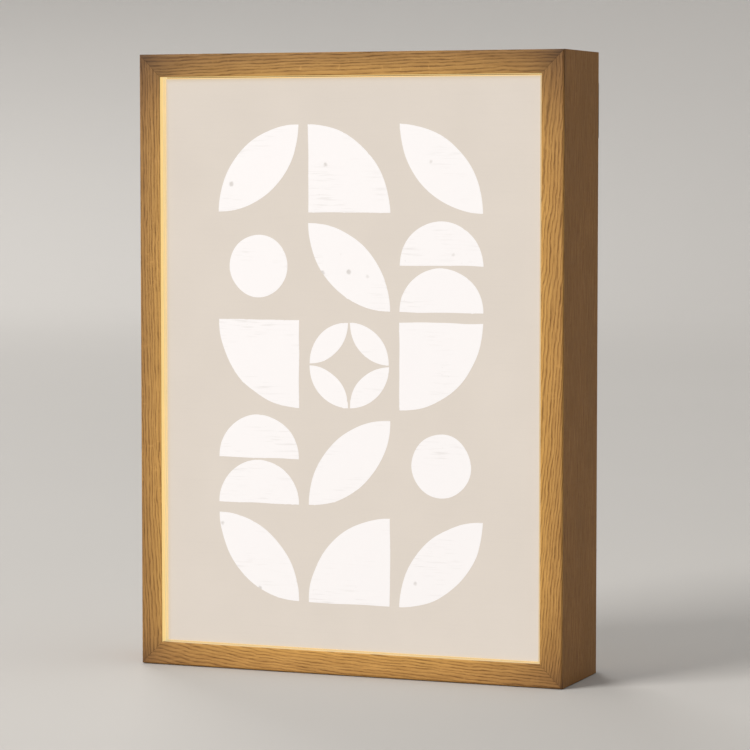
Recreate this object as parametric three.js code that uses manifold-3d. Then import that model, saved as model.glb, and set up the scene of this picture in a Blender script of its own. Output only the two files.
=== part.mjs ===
// Wall light box: a deep mitred oak case around a back-lit print panel that floats in the opening.
// Millimetres, +Z up, front towards -Y, origin at the middle of the footprint on the bottom plane.
import * as THREE from 'three';
import { mergeVertices } from 'three/addons/utils/BufferGeometryUtils.js';
import Module from 'manifold-3d';

const wasm = await Module();
wasm.setup();

// ---- driving dimensions -------------------------------------------------------------------------
const W = 331;                 // outer width of the oak case
const H = 454;                 // outer height of the oak case
const FACE = 17;               // board thickness, which is the face width seen from the front
const OAK_D = 80;              // depth of the oak boards
const STANDOFF = 12;           // how far the rear bumpers hold the case off the wall
const D = OAK_D + STANDOFF;    // overall depth
const Y0 = -D / 2;             // front face of the oak
const YB = Y0 + OAK_D;         // rear face of the oak
const YW = D / 2;              // wall plane, at the rear faces of the bumpers
const MITRE_GAP = 0.14;        // hairline of each mitre
const ARRIS_OUT = 1.6;         // easing of the outer front edge
const ARRIS_IN = 0.7;          // easing of the other long edges

const RECESS = 5;              // print face behind the front face of the oak
const PANEL_T = 3;             // print panel thickness
const PANEL_GAP = 2.3;         // open margin between print panel and oak at the sides
const PANEL_GAP_Z = 0.9;       // the same at the top and bottom
const SPACER_R = 8;
const SPACER_T = 1.4;
const DIFF_T = 2;              // opal diffuser thickness
const TOUCH = 0.3;             // clearance left between pieces that rest on each other

const XI = W / 2 - FACE;       // inner half width of the case
const ZI0 = FACE;              // inner bottom
const ZI1 = H - FACE;          // inner top
const ZC = H / 2;

const PANEL_Y = Y0 + RECESS;                       // print face
const DIFF_Y = PANEL_Y + PANEL_T + SPACER_T + 2 * TOUCH;
const TRAY_Y0 = DIFF_Y + DIFF_T + TOUCH;           // front rim of the reflector tray
const TRAY_Y1 = -2;                                // back of its floor
const TRAY_T = 1;
const TRAY_CLEAR = 0.5;

const STRIP_X = [-112, -56, 0, 56, 112];
const STRIP_W = 10;
const STRIP_Z0 = 35;
const STRIP_Z1 = 425;
const LEDS = 12;

const BATTEN = 9;              // stop battens behind which the back panel sits
const BATTEN_Y0 = 20;
const BACK_T = 3.2;            // back panel
const BACK_Y1 = YB - 0.1;
const BACK_Y0 = BACK_Y1 - BACK_T;

const RAIL_MID = W / 2 - FACE / 2;                 // centre line of a stile, for screws and hangers
const BUTTON_Z = [110, 330];
const BUTTON_R = 4.6;
const BUTTON_REACH = 16.5;     // pivot to the centre of the round nose
const BUTTON_T = 1.5;

const PLATE_W = 16;
const PLATE_H = 44;
const PLATE_T = 2;
const PLATE_Z = 412;
const KEY_HOLE_R = 4.6;
const KEY_SLOT = 4.8;
const KEY_Z = PLATE_Z - 5;
const KEY_RISE = 11;
const POCKET_W = 10.4;
const POCKET_D = 8;

const BUMPER_R = 6.6;
const BUMPER_X = 156.4;         // out of sight behind the case, also from the side

const HALO_X = 124;
const HALO_Z0 = 40;
const HALO_Z1 = 414;
const HALO_W = 8;
const HALO_T = 4;

const JACK = { x: -60, z: 66 };
const LEAD_OUT = { x: 0, z: 402 };
const GROMMET = { x: 28, z: 46 };

const SWITCH = { x: -W / 2 + 7.3, y: 9, z: 90 };   // rocker pivot
const SWITCH_POCKET = 5.5;
const ROCK = 10;               // rocker stands this many degrees to either side of level

// ---- shapes -------------------------------------------------------------------------------------
function bare(geometry) {
  const g = geometry.clone();
  for (const k of Object.keys(g.attributes)) if (k !== 'position') g.deleteAttribute(k);
  const m = mergeVertices(g, 1e-4);
  const out = [];
  const ix = m.index.array;
  for (let i = 0; i < ix.length; i += 3) {
    const [a, b, c] = [ix[i], ix[i + 1], ix[i + 2]];
    if (a !== b && b !== c && a !== c) out.push(a, b, c);
  }
  m.setIndex(out);
  return m;
}

function toSolid(geometry) {
  const g = bare(geometry);
  return new wasm.Manifold(new wasm.Mesh({
    numProp: 3,
    vertProperties: new Float32Array(g.attributes.position.array),
    triVerts: new Uint32Array(g.index.array),
  }));
}

function toGeometry(solid) {
  const mesh = solid.getMesh();
  const g = new THREE.BufferGeometry();
  g.setAttribute('position', new THREE.BufferAttribute(new Float32Array(mesh.vertProperties), 3));
  g.setIndex(new THREE.BufferAttribute(new Uint32Array(mesh.triVerts), 1));
  return g;
}

function cut(base, ...tools) {
  let s = toSolid(base);
  for (const t of tools) s = s.subtract(toSolid(t));
  return toGeometry(s);
}

function join(base, ...more) {
  let s = toSolid(base);
  for (const t of more) s = s.add(toSolid(t));
  return toGeometry(s);
}

// A box between two corners.
function box(x0, x1, y0, y1, z0, z1) {
  return new THREE.BoxGeometry(x1 - x0, y1 - y0, z1 - z0)
    .translate((x0 + x1) / 2, (y0 + y1) / 2, (z0 + z1) / 2);
}

// A cylinder along Y or X between two stations.
function rodY(r, y0, y1, x, z, n = 16) {
  return new THREE.CylinderGeometry(r, r, y1 - y0, n).translate(x, (y0 + y1) / 2, z);
}
function rodX(r, x0, x1, y, z, n = 16) {
  return new THREE.CylinderGeometry(r, r, x1 - x0, n).rotateZ(Math.PI / 2)
    .translate((x0 + x1) / 2, y, z);
}

// An outline in X and Z, with optional holes, made t thick from y0 towards +Y.
function plateXZ(outline, holes, y0, t) {
  const shape = new THREE.Shape(outline.map(([x, z]) => new THREE.Vector2(x, z)));
  for (const h of holes) shape.holes.push(new THREE.Path(h.map(([x, z]) => new THREE.Vector2(x, z))));
  return new THREE.ExtrudeGeometry(shape, { depth: t, bevelEnabled: false })
    .rotateX(Math.PI / 2).translate(0, y0 + t, 0);
}

function ring(cx, cz, r, n = 16, a0 = 0, a1 = 360) {
  const full = a1 - a0 === 360;
  const out = [];
  for (let i = 0; i < (full ? n : n + 1); i++) {
    const a = THREE.MathUtils.degToRad(a0 + (a1 - a0) * i / n);
    out.push([cx + r * Math.cos(a), cz + r * Math.sin(a)]);
  }
  return out;
}

// A rectangle with round corners, counter-clockwise.
function roundRect(x0, x1, z0, z1, r, n = 4) {
  return [
    ...ring(x1 - r, z1 - r, r, n, 0, 90), ...ring(x0 + r, z1 - r, r, n, 90, 180),
    ...ring(x0 + r, z0 + r, r, n, 180, 270), ...ring(x1 - r, z0 + r, r, n, 270, 360),
  ];
}

// A closed body through a row of point rings, capped at both ends.
function loft(rings) {
  const n = rings[0].length;
  const pos = [];
  for (const r of rings) for (const p of r) pos.push(p.x, p.y, p.z);
  const ix = [];
  for (let i = 0; i < rings.length - 1; i++) {
    for (let j = 0; j < n; j++) {
      const a = i * n + j, b = i * n + (j + 1) % n, c = a + n, d = b + n;
      ix.push(a, b, d, a, d, c);
    }
  }
  const last = (rings.length - 1) * n;
  for (let j = 1; j < n - 1; j++) {
    ix.push(0, j + 1, j);
    ix.push(last, last + j, last + j + 1);
  }
  const g = new THREE.BufferGeometry();
  g.setAttribute('position', new THREE.BufferAttribute(new Float32Array(pos), 3));
  g.setIndex(ix);
  return g;
}

// Turned about the local Y axis: profile of [radius, height], from axis to axis.
function turned(profile, n = 16) {
  return new THREE.LatheGeometry(profile.map(([r, h]) => new THREE.Vector2(r, h)), n);
}

// ---- materials ----------------------------------------------------------------------------------
const mat = (color, roughness, metalness = 0, more = {}) =>
  new THREE.MeshStandardMaterial({ color, roughness, metalness, flatShading: true, ...more });
const OAK = mat(0xa87d4c, 0.62);
const BEECH = mat(0xc79a66, 0.6);
const PRINT = mat(0xe2d7ca, 0.55, 0, { emissive: 0xe2d7ca, emissiveIntensity: 0.6 });
const OPAL = mat(0xf6dfb0, 0.4, 0, { emissive: 0xffd690, emissiveIntensity: 1 });
const CLEAR = mat(0xe9eef0, 0.1, 0, { transparent: true, opacity: 0.5 });
const WHITE_METAL = mat(0xf2f2f0, 0.5, 0.2);
const STRIP = mat(0xf4f4ea, 0.45);
const HARDBOARD = mat(0xe4e2dc, 0.7);
const PINE = mat(0xcfae7c, 0.75);
const ZINC = mat(0xb9bcc0, 0.35, 1);
const STEEL = mat(0x9a9da2, 0.4, 1);
const BLACK = mat(0x17181a, 0.45);
const RUBBER = mat(0x1d1d1f, 0.85);
const SILICONE = mat(0xf7ecd6, 0.5, 0, { emissive: 0xffca80, emissiveIntensity: 0.6 });
const LEAD_GREY = mat(0x2b2c2e, 0.6);

// ---- scene --------------------------------------------------------------------------------------
const lightBox = new THREE.Group();
lightBox.name = 'light_box';
const section = () => { const g = new THREE.Group(); lightBox.add(g); return g; };
const oakCase = section();
const front = section();
const engine = section();
const rear = section();
const controls = section();

// Puts a piece whose geometry is drawn in place at a mesh origin of its own.
function put(group, name, geometry, material, at = [0, 0, 0]) {
  const g = bare(geometry).translate(-at[0], -at[1], -at[2]);
  g.computeVertexNormals();
  const mesh = new THREE.Mesh(g, material);
  mesh.name = name;
  mesh.position.set(...at);
  group.add(mesh);
  return mesh;
}

// Puts a piece whose geometry is drawn round its own origin.
function set(group, name, geometry, material, at, turn = [0, 0, 0]) {
  const g = bare(geometry);
  g.computeVertexNormals();
  const mesh = new THREE.Mesh(g, material);
  mesh.name = name;
  mesh.position.set(...at);
  mesh.rotation.set(...turn);
  group.add(mesh);
  return mesh;
}

// ---- oak case -----------------------------------------------------------------------------------
// Cross-section of a board, u from the outer face inwards and v from the front face backwards.
function boardSection() {
  const arc = (cu, cv, r, a0, a1, n) => ring(cu, cv, r, n, a0, a1);
  return [
    ...arc(ARRIS_OUT, ARRIS_OUT, ARRIS_OUT, 180, 270, 4),
    ...arc(FACE - ARRIS_IN, ARRIS_IN, ARRIS_IN, 270, 360, 3),
    ...arc(FACE - ARRIS_IN, OAK_D - ARRIS_IN, ARRIS_IN, 0, 90, 2),
    ...arc(ARRIS_IN, OAK_D - ARRIS_IN, ARRIS_IN, 90, 180, 2),
  ];
}

// A board on the -X side of the opening with both ends mitred; turned about Y for the other sides.
function board(halfAcross, halfLength, angle) {
  const rings = [-1, 1].map((s) => boardSection().map(([u, v]) =>
    new THREE.Vector3(-halfAcross + u, Y0 + v, s * (halfLength - u - MITRE_GAP / 2 * Math.SQRT2))));
  return loft(rings).rotateY(angle).translate(0, 0, ZC);
}

// Hidden splines across the mitres.
const KEY = { t: 3, half: 6.2, y0: -30, y1: 18, in: 12 };
function mitreKey(sx, sz, grow = 0) {
  const cx = sx * (XI + KEY.in / Math.SQRT2);
  const cz = ZC + sz * (H / 2 - FACE + KEY.in / Math.SQRT2);
  return new THREE.BoxGeometry(2 * (KEY.half + grow), KEY.y1 - KEY.y0 + 2 * grow, KEY.t + 2 * grow)
    .rotateY(sx * sz > 0 ? Math.PI / 4 : -Math.PI / 4)
    .translate(cx, (KEY.y0 + KEY.y1) / 2, cz);
}
const CORNERS = { top_left: [-1, 1], top_right: [1, 1], bottom_left: [-1, -1], bottom_right: [1, -1] };
const keySlots = {};
for (const [name, [sx, sz]] of Object.entries(CORNERS)) {
  keySlots[name] = mitreKey(sx, sz, 0.25);
  put(oakCase, `mitre_key_${name}`, mitreKey(sx, sz), BEECH,
    [sx * (XI + 8), (KEY.y0 + KEY.y1) / 2, sz > 0 ? H - 9 : 9]);
}

// Screw holes, hanger pockets and the switch opening in the two stiles.
const TRAY_SCREW_Z = [120, 334];
const TRAY_SCREW_Y = -18;
const SCREW_R = 1.5;
const PILOT = 0.25;
function stileCuts(s) {
  const x = s * RAIL_MID;
  const cuts = [];
  for (const z of BUTTON_Z) cuts.push(rodY(SCREW_R + PILOT, YB - 14, YB + 1, x, z, 12));
  for (const dz of [-17, 17]) cuts.push(rodY(SCREW_R + PILOT, YB - 14, YB + 1, x, PLATE_Z + dz, 12));
  cuts.push(box(x - POCKET_W / 2, x + POCKET_W / 2, YB - POCKET_D, YB + 1, KEY_Z - 5.4, KEY_Z + KEY_RISE + 4.6));
  for (const z of TRAY_SCREW_Z) {
    cuts.push(s > 0 ? rodX(SCREW_R + PILOT, XI - 1, XI + 13, TRAY_SCREW_Y, z, 12)
      : rodX(SCREW_R + PILOT, -XI - 13, -XI + 1, TRAY_SCREW_Y, z, 12));
  }
  return cuts;
}
const switchCuts = [
  box(-W / 2 - 1, -W / 2 + SWITCH_POCKET, SWITCH.y - 8.2, SWITCH.y + 8.2, SWITCH.z - 11.2, SWITCH.z + 11.2),
  box(-W / 2 + 1, -XI - 1, SWITCH.y - 6.8, SWITCH.y + 6.8, SWITCH.z - 9.8, SWITCH.z + 9.8),
  box(-W / 2 + SWITCH_POCKET + 3, -XI + 1, SWITCH.y - 8.2, SWITCH.y + 8.2, SWITCH.z - 11.2, SWITCH.z + 11.2),
];
put(oakCase, 'rail_left', cut(board(W / 2, H / 2, 0), keySlots.top_left, keySlots.bottom_left,
  ...stileCuts(-1), ...switchCuts), OAK, [-RAIL_MID, 0, ZC]);
put(oakCase, 'rail_right', cut(board(W / 2, H / 2, Math.PI), keySlots.top_right, keySlots.bottom_right,
  ...stileCuts(1)), OAK, [RAIL_MID, 0, ZC]);
put(oakCase, 'rail_top', cut(board(H / 2, W / 2, Math.PI / 2), keySlots.top_left, keySlots.top_right),
  OAK, [0, 0, H - FACE / 2]);
put(oakCase, 'rail_bottom', cut(board(H / 2, W / 2, -Math.PI / 2), keySlots.bottom_left, keySlots.bottom_right),
  OAK, [0, 0, FACE / 2]);

// Battens that stop the back panel.
const bx = XI - TOUCH, bz0 = ZI0 + TOUCH, bz1 = ZI1 - TOUCH;
const by1 = BACK_Y0 - TOUCH;
put(oakCase, 'back_batten_left', box(-bx, -bx + BATTEN, BATTEN_Y0, by1, bz0, bz1), PINE, [-bx, 25, ZC]);
put(oakCase, 'back_batten_right', box(bx - BATTEN, bx, BATTEN_Y0, by1, bz0, bz1), PINE, [bx, 25, ZC]);
put(oakCase, 'back_batten_top', box(-bx + BATTEN + TOUCH, bx - BATTEN - TOUCH, BATTEN_Y0, by1, bz1 - BATTEN, bz1),
  PINE, [0, 25, bz1]);
put(oakCase, 'back_batten_bottom', box(-bx + BATTEN + TOUCH, bx - BATTEN - TOUCH, BATTEN_Y0, by1, bz0, bz0 + BATTEN),
  PINE, [0, 25, bz0]);

// ---- floating print panel, its spacers and the opal diffuser -------------------------------------
const px = XI - PANEL_GAP, pz0 = ZI0 + PANEL_GAP_Z, pz1 = ZI1 - PANEL_GAP_Z;
put(front, 'print_panel', plateXZ(roundRect(-px, px, pz0, pz1, 0.8, 2), [], PANEL_Y, PANEL_T), PRINT,
  [0, PANEL_Y, ZC]);
const spacer = () => new THREE.CylinderGeometry(SPACER_R, SPACER_R, SPACER_T, 20);
const spacerY = PANEL_Y + PANEL_T + TOUCH + SPACER_T / 2;
for (const [name, [sx, sz]] of Object.entries(CORNERS)) {
  set(front, `panel_spacer_${name}`, spacer(), CLEAR, [sx * 96, spacerY, ZC + sz * 150]);
}
put(front, 'diffuser', box(-XI + TRAY_CLEAR, XI - TRAY_CLEAR, DIFF_Y, DIFF_Y + DIFF_T, ZI0 + TRAY_CLEAR, ZI1 - TRAY_CLEAR),
  OPAL, [0, DIFF_Y, ZC]);

// ---- light engine -------------------------------------------------------------------------------
const tx = XI - TRAY_CLEAR, tz0 = ZI0 + TRAY_CLEAR, tz1 = ZI1 - TRAY_CLEAR;
put(engine, 'reflector_tray', cut(
  box(-tx, tx, TRAY_Y0, TRAY_Y1, tz0, tz1),
  box(-tx + TRAY_T, tx - TRAY_T, TRAY_Y0 - 1, TRAY_Y1 - TRAY_T, tz0 + TRAY_T, tz1 - TRAY_T),
  rodY(4.5, TRAY_Y1 - 3, TRAY_Y1 + 1, GROMMET.x, GROMMET.z, 20),
  ...TRAY_SCREW_Z.flatMap((z) => [-1, 1].map((s) =>
    rodX(1.9, Math.min(s * (tx - 3), s * (tx + 1)), Math.max(s * (tx - 3), s * (tx + 1)), TRAY_SCREW_Y, z, 12))),
), WHITE_METAL, [0, TRAY_Y1, ZC]);

// LED strips: a thin board with a row of packages.
const stripY = TRAY_Y1 - TRAY_T - TOUCH;
for (const [i, x] of STRIP_X.entries()) {
  const leds = [];
  for (let k = 0; k < LEDS; k++) {
    const z = STRIP_Z0 + (k + 0.5) * (STRIP_Z1 - STRIP_Z0) / LEDS;
    leds.push(box(x - 2.5, x + 2.5, stripY - 2, stripY - 0.3, z - 2.5, z + 2.5));
  }
  put(engine, `led_strip_${i + 1}`, join(
    box(x - STRIP_W / 2, x + STRIP_W / 2, stripY - 0.6, stripY, STRIP_Z0, STRIP_Z1), ...leds),
    STRIP, [x, stripY, ZC]);
}
put(engine, 'bus_board', box(-122, 122, stripY - 1, stripY, 24, 32), STRIP, [0, stripY, 28]);

// Pan-head screws: head towards +Y, shank down -Y, cross recess.
function screw(shank, headR = 3, headH = 1.9, r = SCREW_R) {
  const body = turned([
    [0, -shank], [r * 0.35, -shank + 1], [r, -shank + 3.2], [r, 0], [headR, 0], [headR, headH * 0.45],
    [headR * 0.82, headH * 0.8], [headR * 0.45, headH * 0.97], [0, headH]], 14);
  return cut(body, box(-0.45, 0.45, headH - 1.1, headH + 1, -1.6, 1.6), box(-1.6, 1.6, headH - 1.1, headH + 1, -0.45, 0.45));
}
for (const s of [-1, 1]) {
  for (const [i, z] of TRAY_SCREW_Z.entries()) {
    set(engine, `tray_screw_${s < 0 ? 'left' : 'right'}_${i ? 'top' : 'bottom'}`, screw(12.5), ZINC,
      [s * (tx - TRAY_T - TOUCH), TRAY_SCREW_Y, z], [0, 0, s < 0 ? -Math.PI / 2 : Math.PI / 2]);
  }
}

// Driver housing on the back of the tray, with two end lugs.
const DRIVER = { x: 21, y0: TRAY_Y1 + TOUCH, y1: 18, z0: 150, z1: 245 };
const driverEnd = (y) => roundRect(-DRIVER.x, DRIVER.x, DRIVER.y0, y, 2.5, 3);
{
  const shape = new THREE.Shape(driverEnd(DRIVER.y1).map(([x, y]) => new THREE.Vector2(x, y)));
  const body = new THREE.ExtrudeGeometry(shape, { depth: DRIVER.z1 - DRIVER.z0, bevelEnabled: false })
    .translate(0, 0, DRIVER.z0);
  const lug = (z) => cut(box(-12, 12, DRIVER.y0, DRIVER.y0 + 2, z - 7, z + 7), rodY(2.1, DRIVER.y0 - 1, DRIVER.y0 + 3, 0, z, 12));
  put(engine, 'led_driver', join(body, lug(DRIVER.z0 - 5), lug(DRIVER.z1 + 5)), BLACK, [0, 8, (DRIVER.z0 + DRIVER.z1) / 2]);
}

// Rubber grommet where the strip lead passes the tray floor.
set(engine, 'tray_grommet', new THREE.LatheGeometry([[1.9, -3], [5.6, -3], [5.9, -2.5], [5.9, -0.95], [4.2, -0.95], [4.2, 0.65],
  [5.9, 0.65], [5.9, 1.6], [5.6, 2.1], [1.9, 2.1], [1.9, -3]].map(([r, h]) => new THREE.Vector2(r, h)), 16),
  RUBBER, [GROMMET.x, TRAY_Y1 - TRAY_T / 2 + 0.15, GROMMET.z]);

// A lead: a round section drawn along a smooth route.
function lead(points, r, steps) {
  const curve = new THREE.CatmullRomCurve3(points.map((p) => new THREE.Vector3(...p)), false, 'centripetal');
  const shape = new THREE.Shape(ring(0, 0, r, 8).map(([x, y]) => new THREE.Vector2(x, y)));
  return new THREE.ExtrudeGeometry(shape, { steps, extrudePath: curve, bevelEnabled: false });
}
put(engine, 'lead_inlet', lead([[JACK.x, 10.6, JACK.z], [JACK.x, 7.5, JACK.z + 1], [JACK.x + 4, 5, JACK.z + 10],
  [-38, 4, 112], [-14, 5, 132], [-9, 8, 142], [-9, 8, 149.6]], 1.5, 16), LEAD_GREY, [JACK.x, 8, JACK.z]);
put(engine, 'lead_switch', lead([[SWITCH.x + 20.4, SWITCH.y, SWITCH.z], [-132, SWITCH.y, SWITCH.z + 1], [-118, 8, 104],
  [-92, 6, 150], [-60, 6, 190], [-34, 8, 200], [-21.5, 8, 200]], 1.5, 16), LEAD_GREY, [-100, 8, 140]);
put(engine, 'lead_strips', lead([[9, 8, 149.6], [9, 8, 140], [14, 6, 100], [24, 5, 62], [GROMMET.x, 3, GROMMET.z + 3],
  [GROMMET.x, 0.5, GROMMET.z], [GROMMET.x, -3, GROMMET.z], [GROMMET.x, -6.4, GROMMET.z], [GROMMET.x, -7.4, GROMMET.z - 2.6],
  [GROMMET.x, -7.4, GROMMET.z - 14]], 1.5, 28), LEAD_GREY, [GROMMET.x, 0, GROMMET.z]);
put(engine, 'lead_halo', lead([[0, 8, 245.4], [0, 8, 262], [4, 7, 320], [2, 10, 384], [LEAD_OUT.x, 17, LEAD_OUT.z - 2],
  [LEAD_OUT.x, 24, LEAD_OUT.z], [LEAD_OUT.x, 34, LEAD_OUT.z], [LEAD_OUT.x, 36.2, LEAD_OUT.z + 1.4],
  [LEAD_OUT.x, 36.4, HALO_Z1 - HALO_W / 2 - 0.6]], 1.3, 30), LEAD_GREY, [0, 16, 320]);

// ---- rear ---------------------------------------------------------------------------------------
const backX = XI - 0.7, backZ0 = ZI0 + 0.7, backZ1 = ZI1 - 0.7;
const vents = [];
for (const z of [98, 366]) {
  for (const x of [-42, -28, -14, 14, 28, 42]) {
    vents.push([...ring(x, z + 11, 1.6, 6, 0, 180), ...ring(x, z - 11, 1.6, 6, 180, 360)].reverse());
  }
}
put(rear, 'back_panel', plateXZ(roundRect(-backX, backX, backZ0, backZ1, 1.5, 2),
  [...vents, ring(JACK.x, JACK.z, 5.9, 20).reverse(), ring(LEAD_OUT.x, LEAD_OUT.z, 1.9, 12).reverse()],
  BACK_Y0, BACK_T), HARDBOARD, [0, BACK_Y0, ZC]);

// Turn buttons: each swings on its screw, nose over the back panel when closed.
function turnButton() {
  const outline = [...ring(0, 0, BUTTON_R, 10, -90, 90), ...ring(-BUTTON_REACH, 0, 3.6, 8, 90, 270)];
  return plateXZ(outline, [ring(0, 0, SCREW_R + 0.3, 14).reverse()], 0, BUTTON_T);
}
const buttonY = YB + TOUCH;
for (const s of [-1, 1]) {
  for (const [i, z] of BUTTON_Z.entries()) {
    const tag = `${s < 0 ? 'left' : 'right'}_${i ? 'top' : 'bottom'}`;
    set(rear, `turn_button_${tag}`, turnButton(), ZINC, [s * RAIL_MID, buttonY, z], [0, s < 0 ? Math.PI : 0, 0]);
    set(rear, `turn_button_screw_${tag}`, screw(13), ZINC, [s * RAIL_MID, buttonY + BUTTON_T + TOUCH, z]);
  }
}

// Keyhole hangers: a steel plate over a pocket in the stile, its screws countersunk just below its face.
const keyhole = [...ring(0, KEY_Z - PLATE_Z, KEY_HOLE_R, 14, 90 + 31.5, 450 - 31.5),
  ...ring(0, KEY_Z - PLATE_Z + KEY_RISE, KEY_SLOT / 2, 6, 0, 180)];
const CSK_R = 2.8;
const CSK_H = 1.3;
const SUNK = 0.1;
function flatScrew(shank) {
  const body = turned([
    [0, -shank], [SCREW_R * 0.35, -shank + 1], [SCREW_R, -shank + 3.2], [SCREW_R, -CSK_H - 0.15],
    [CSK_R, -0.15], [CSK_R, 0], [0, 0]], 16);
  return cut(body, box(-0.42, 0.42, -1, 1, -1.5, 1.5), box(-1.5, 1.5, -1, 1, -0.42, 0.42));
}
function countersink(z) {
  const t = PLATE_T;
  return turned([[0, -1], [SCREW_R + 0.3, -1], [SCREW_R + 0.3, t - SUNK - CSK_H - 0.15],
    [CSK_R + 0.3, t - SUNK - 0.15], [CSK_R + 0.3, t + 1], [0, t + 1]], 16).translate(0, 0, z);
}
for (const s of [-1, 1]) {
  const side = s < 0 ? 'left' : 'right';
  set(rear, `keyhole_plate_${side}`, cut(plateXZ(roundRect(-PLATE_W / 2, PLATE_W / 2, -PLATE_H / 2, PLATE_H / 2, 3, 4),
    [keyhole.slice().reverse()], 0, PLATE_T), countersink(-17), countersink(17)), STEEL,
    [s * RAIL_MID, YB + TOUCH, PLATE_Z]);
  for (const dz of [-17, 17]) {
    set(rear, `hanger_screw_${side}_${dz < 0 ? 'bottom' : 'top'}`, flatScrew(13), ZINC,
      [s * RAIL_MID, YB + TOUCH + PLATE_T - SUNK, PLATE_Z + dz]);
  }
}

// Rubber bumpers at the four corners hold the case off the wall.
for (const [name, [sx, sz]] of Object.entries(CORNERS)) {
  const h = STANDOFF - TOUCH;
  set(rear, `wall_bumper_${name}`, turned([[0, 0], [BUMPER_R, 0], [BUMPER_R, 1.2], [BUMPER_R - 1.4, h - 1], [BUMPER_R - 2.2, h], [0, h]], 20),
    RUBBER, [sx * BUMPER_X, YB + TOUCH, ZC + sz * (H / 2 - FACE / 2)]);
}

// Halo strip: one silicone-sleeved light line bent round the back panel, its two ends at the top middle.
{
  const y0 = BACK_Y1 + TOUCH, a = HALO_W / 2, t = HALO_T;
  const sectionPts = [[-a, 0], [-a, t * 0.55], [-a * 0.72, t * 0.86], [-a * 0.3, t], [a * 0.3, t], [a * 0.72, t * 0.86], [a, t * 0.55], [a, 0]];
  const R = 16, cz = (HALO_Z0 + HALO_Z1) / 2;
  const path = [[1.5, HALO_Z1, 0, 1]];
  const corners = [[HALO_X, HALO_Z1, 90, 0], [HALO_X, HALO_Z0, 0, -90], [-HALO_X, HALO_Z0, -90, -180], [-HALO_X, HALO_Z1, -180, -270]];
  for (const [cx, czz, a0, a1] of corners) {
    const ox = Math.sign(cx) * (Math.abs(cx) - R), oz = czz > cz ? czz - R : czz + R;
    for (let i = 0; i <= 6; i++) {
      const ang = THREE.MathUtils.degToRad(a0 + (a1 - a0) * i / 6);
      path.push([ox + R * Math.cos(ang), oz + R * Math.sin(ang), Math.cos(ang), Math.sin(ang)]);
    }
  }
  path.push([-1.5, HALO_Z1, 0, 1]);
  const rings = path.map(([x, z, nx, nz]) => sectionPts.map(([u, v]) => new THREE.Vector3(x + nx * u, y0 + v, z + nz * u)));
  put(rear, 'halo_strip', loft(rings), SILICONE, [0, y0, cz]);
}

// ---- inlet and switch ---------------------------------------------------------------------------
// Barrel inlet in the back panel: flange outside, nut inside, pin in the middle of the socket.
set(controls, 'dc_jack', turned([[0, 35.2], [1.05, 35], [1.05, 26], [3, 26], [3, 35.7], [6.6, 35.7], [7.4, 35], [7.4, BACK_Y1 + TOUCH],
  [5.5, BACK_Y1 + TOUCH], [5.5, 18.5], [4.4, 18.2], [4.4, 14], [1.6, 14], [1.6, 11], [0, 11]].reverse(), 16), BLACK, [JACK.x, 0, JACK.z]);
{
  const hex = [0, 1, 2, 3, 4, 5].map((i) => [8 * Math.cos(i * Math.PI / 3), 8 * Math.sin(i * Math.PI / 3)]);
  set(controls, 'dc_jack_nut', plateXZ(hex, [ring(0, 0, 5.8, 20).reverse()], 0, 2.6), ZINC, [JACK.x, BACK_Y0 - TOUCH - 2.6, JACK.z]);
}

// Rocker switch in a pocket of the left stile. Local frame: pivot at the origin, outwards is -X.
const bezelOut = -4;                       // outer face of the bezel, from the pivot
const housingGeometry = cut(
  join(
    box(bezelOut, bezelOut + 1.9, -7.5, 7.5, -10.5, 10.5),
    box(bezelOut + 1, 12, -6.4, 6.4, -9.4, 9.4),
    box(11, 19.6, -0.4, 0.4, -6.6, -2.2), box(11, 19.6, -0.4, 0.4, 2.2, 6.6),
  ),
  box(bezelOut - 1, 6.5, -5.6, 5.6, -8.9, 8.9),
  new THREE.CylinderGeometry(1.15, 1.15, 12.5, 14),
);
set(controls, 'switch_housing', housingGeometry, BLACK, [SWITCH.x, SWITCH.y, SWITCH.z]);

// Rocker profile in Z and outwards, level position, then stood at its rest angle.
{
  const tilt = Math.tan(THREE.MathUtils.degToRad(ROCK));
  const c = 3.1;
  const profile = [];
  const half = 7.9;
  for (const [q, p] of [[-half, c + half * tilt - 0.5], [-half + 0.35, c + half * tilt - 0.06], [-4, c + 4 * tilt], [0, c], [4, c + 4 * tilt],
    [half - 0.35, c + half * tilt - 0.06], [half, c + half * tilt - 0.5], [half - 0.3, 0.6], [5.2, -3], [-5.2, -3], [-half + 0.3, 0.6]]) profile.push([q, p]);
  const ringAt = (y) => profile.map(([q, p]) => new THREE.Vector3(-p, y, q));
  const pin = new THREE.CylinderGeometry(0.9, 0.9, 11.9, 12);
  const body = join(loft([ringAt(-5.25), ringAt(5.25)]), pin).rotateY(THREE.MathUtils.degToRad(ROCK));
  set(controls, 'switch_rocker', body, BLACK, [SWITCH.x, SWITCH.y, SWITCH.z]);
}

export default lightBox;
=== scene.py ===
import math
import random

import bmesh
import bpy
from mathutils import Matrix, Vector, noise


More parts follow.
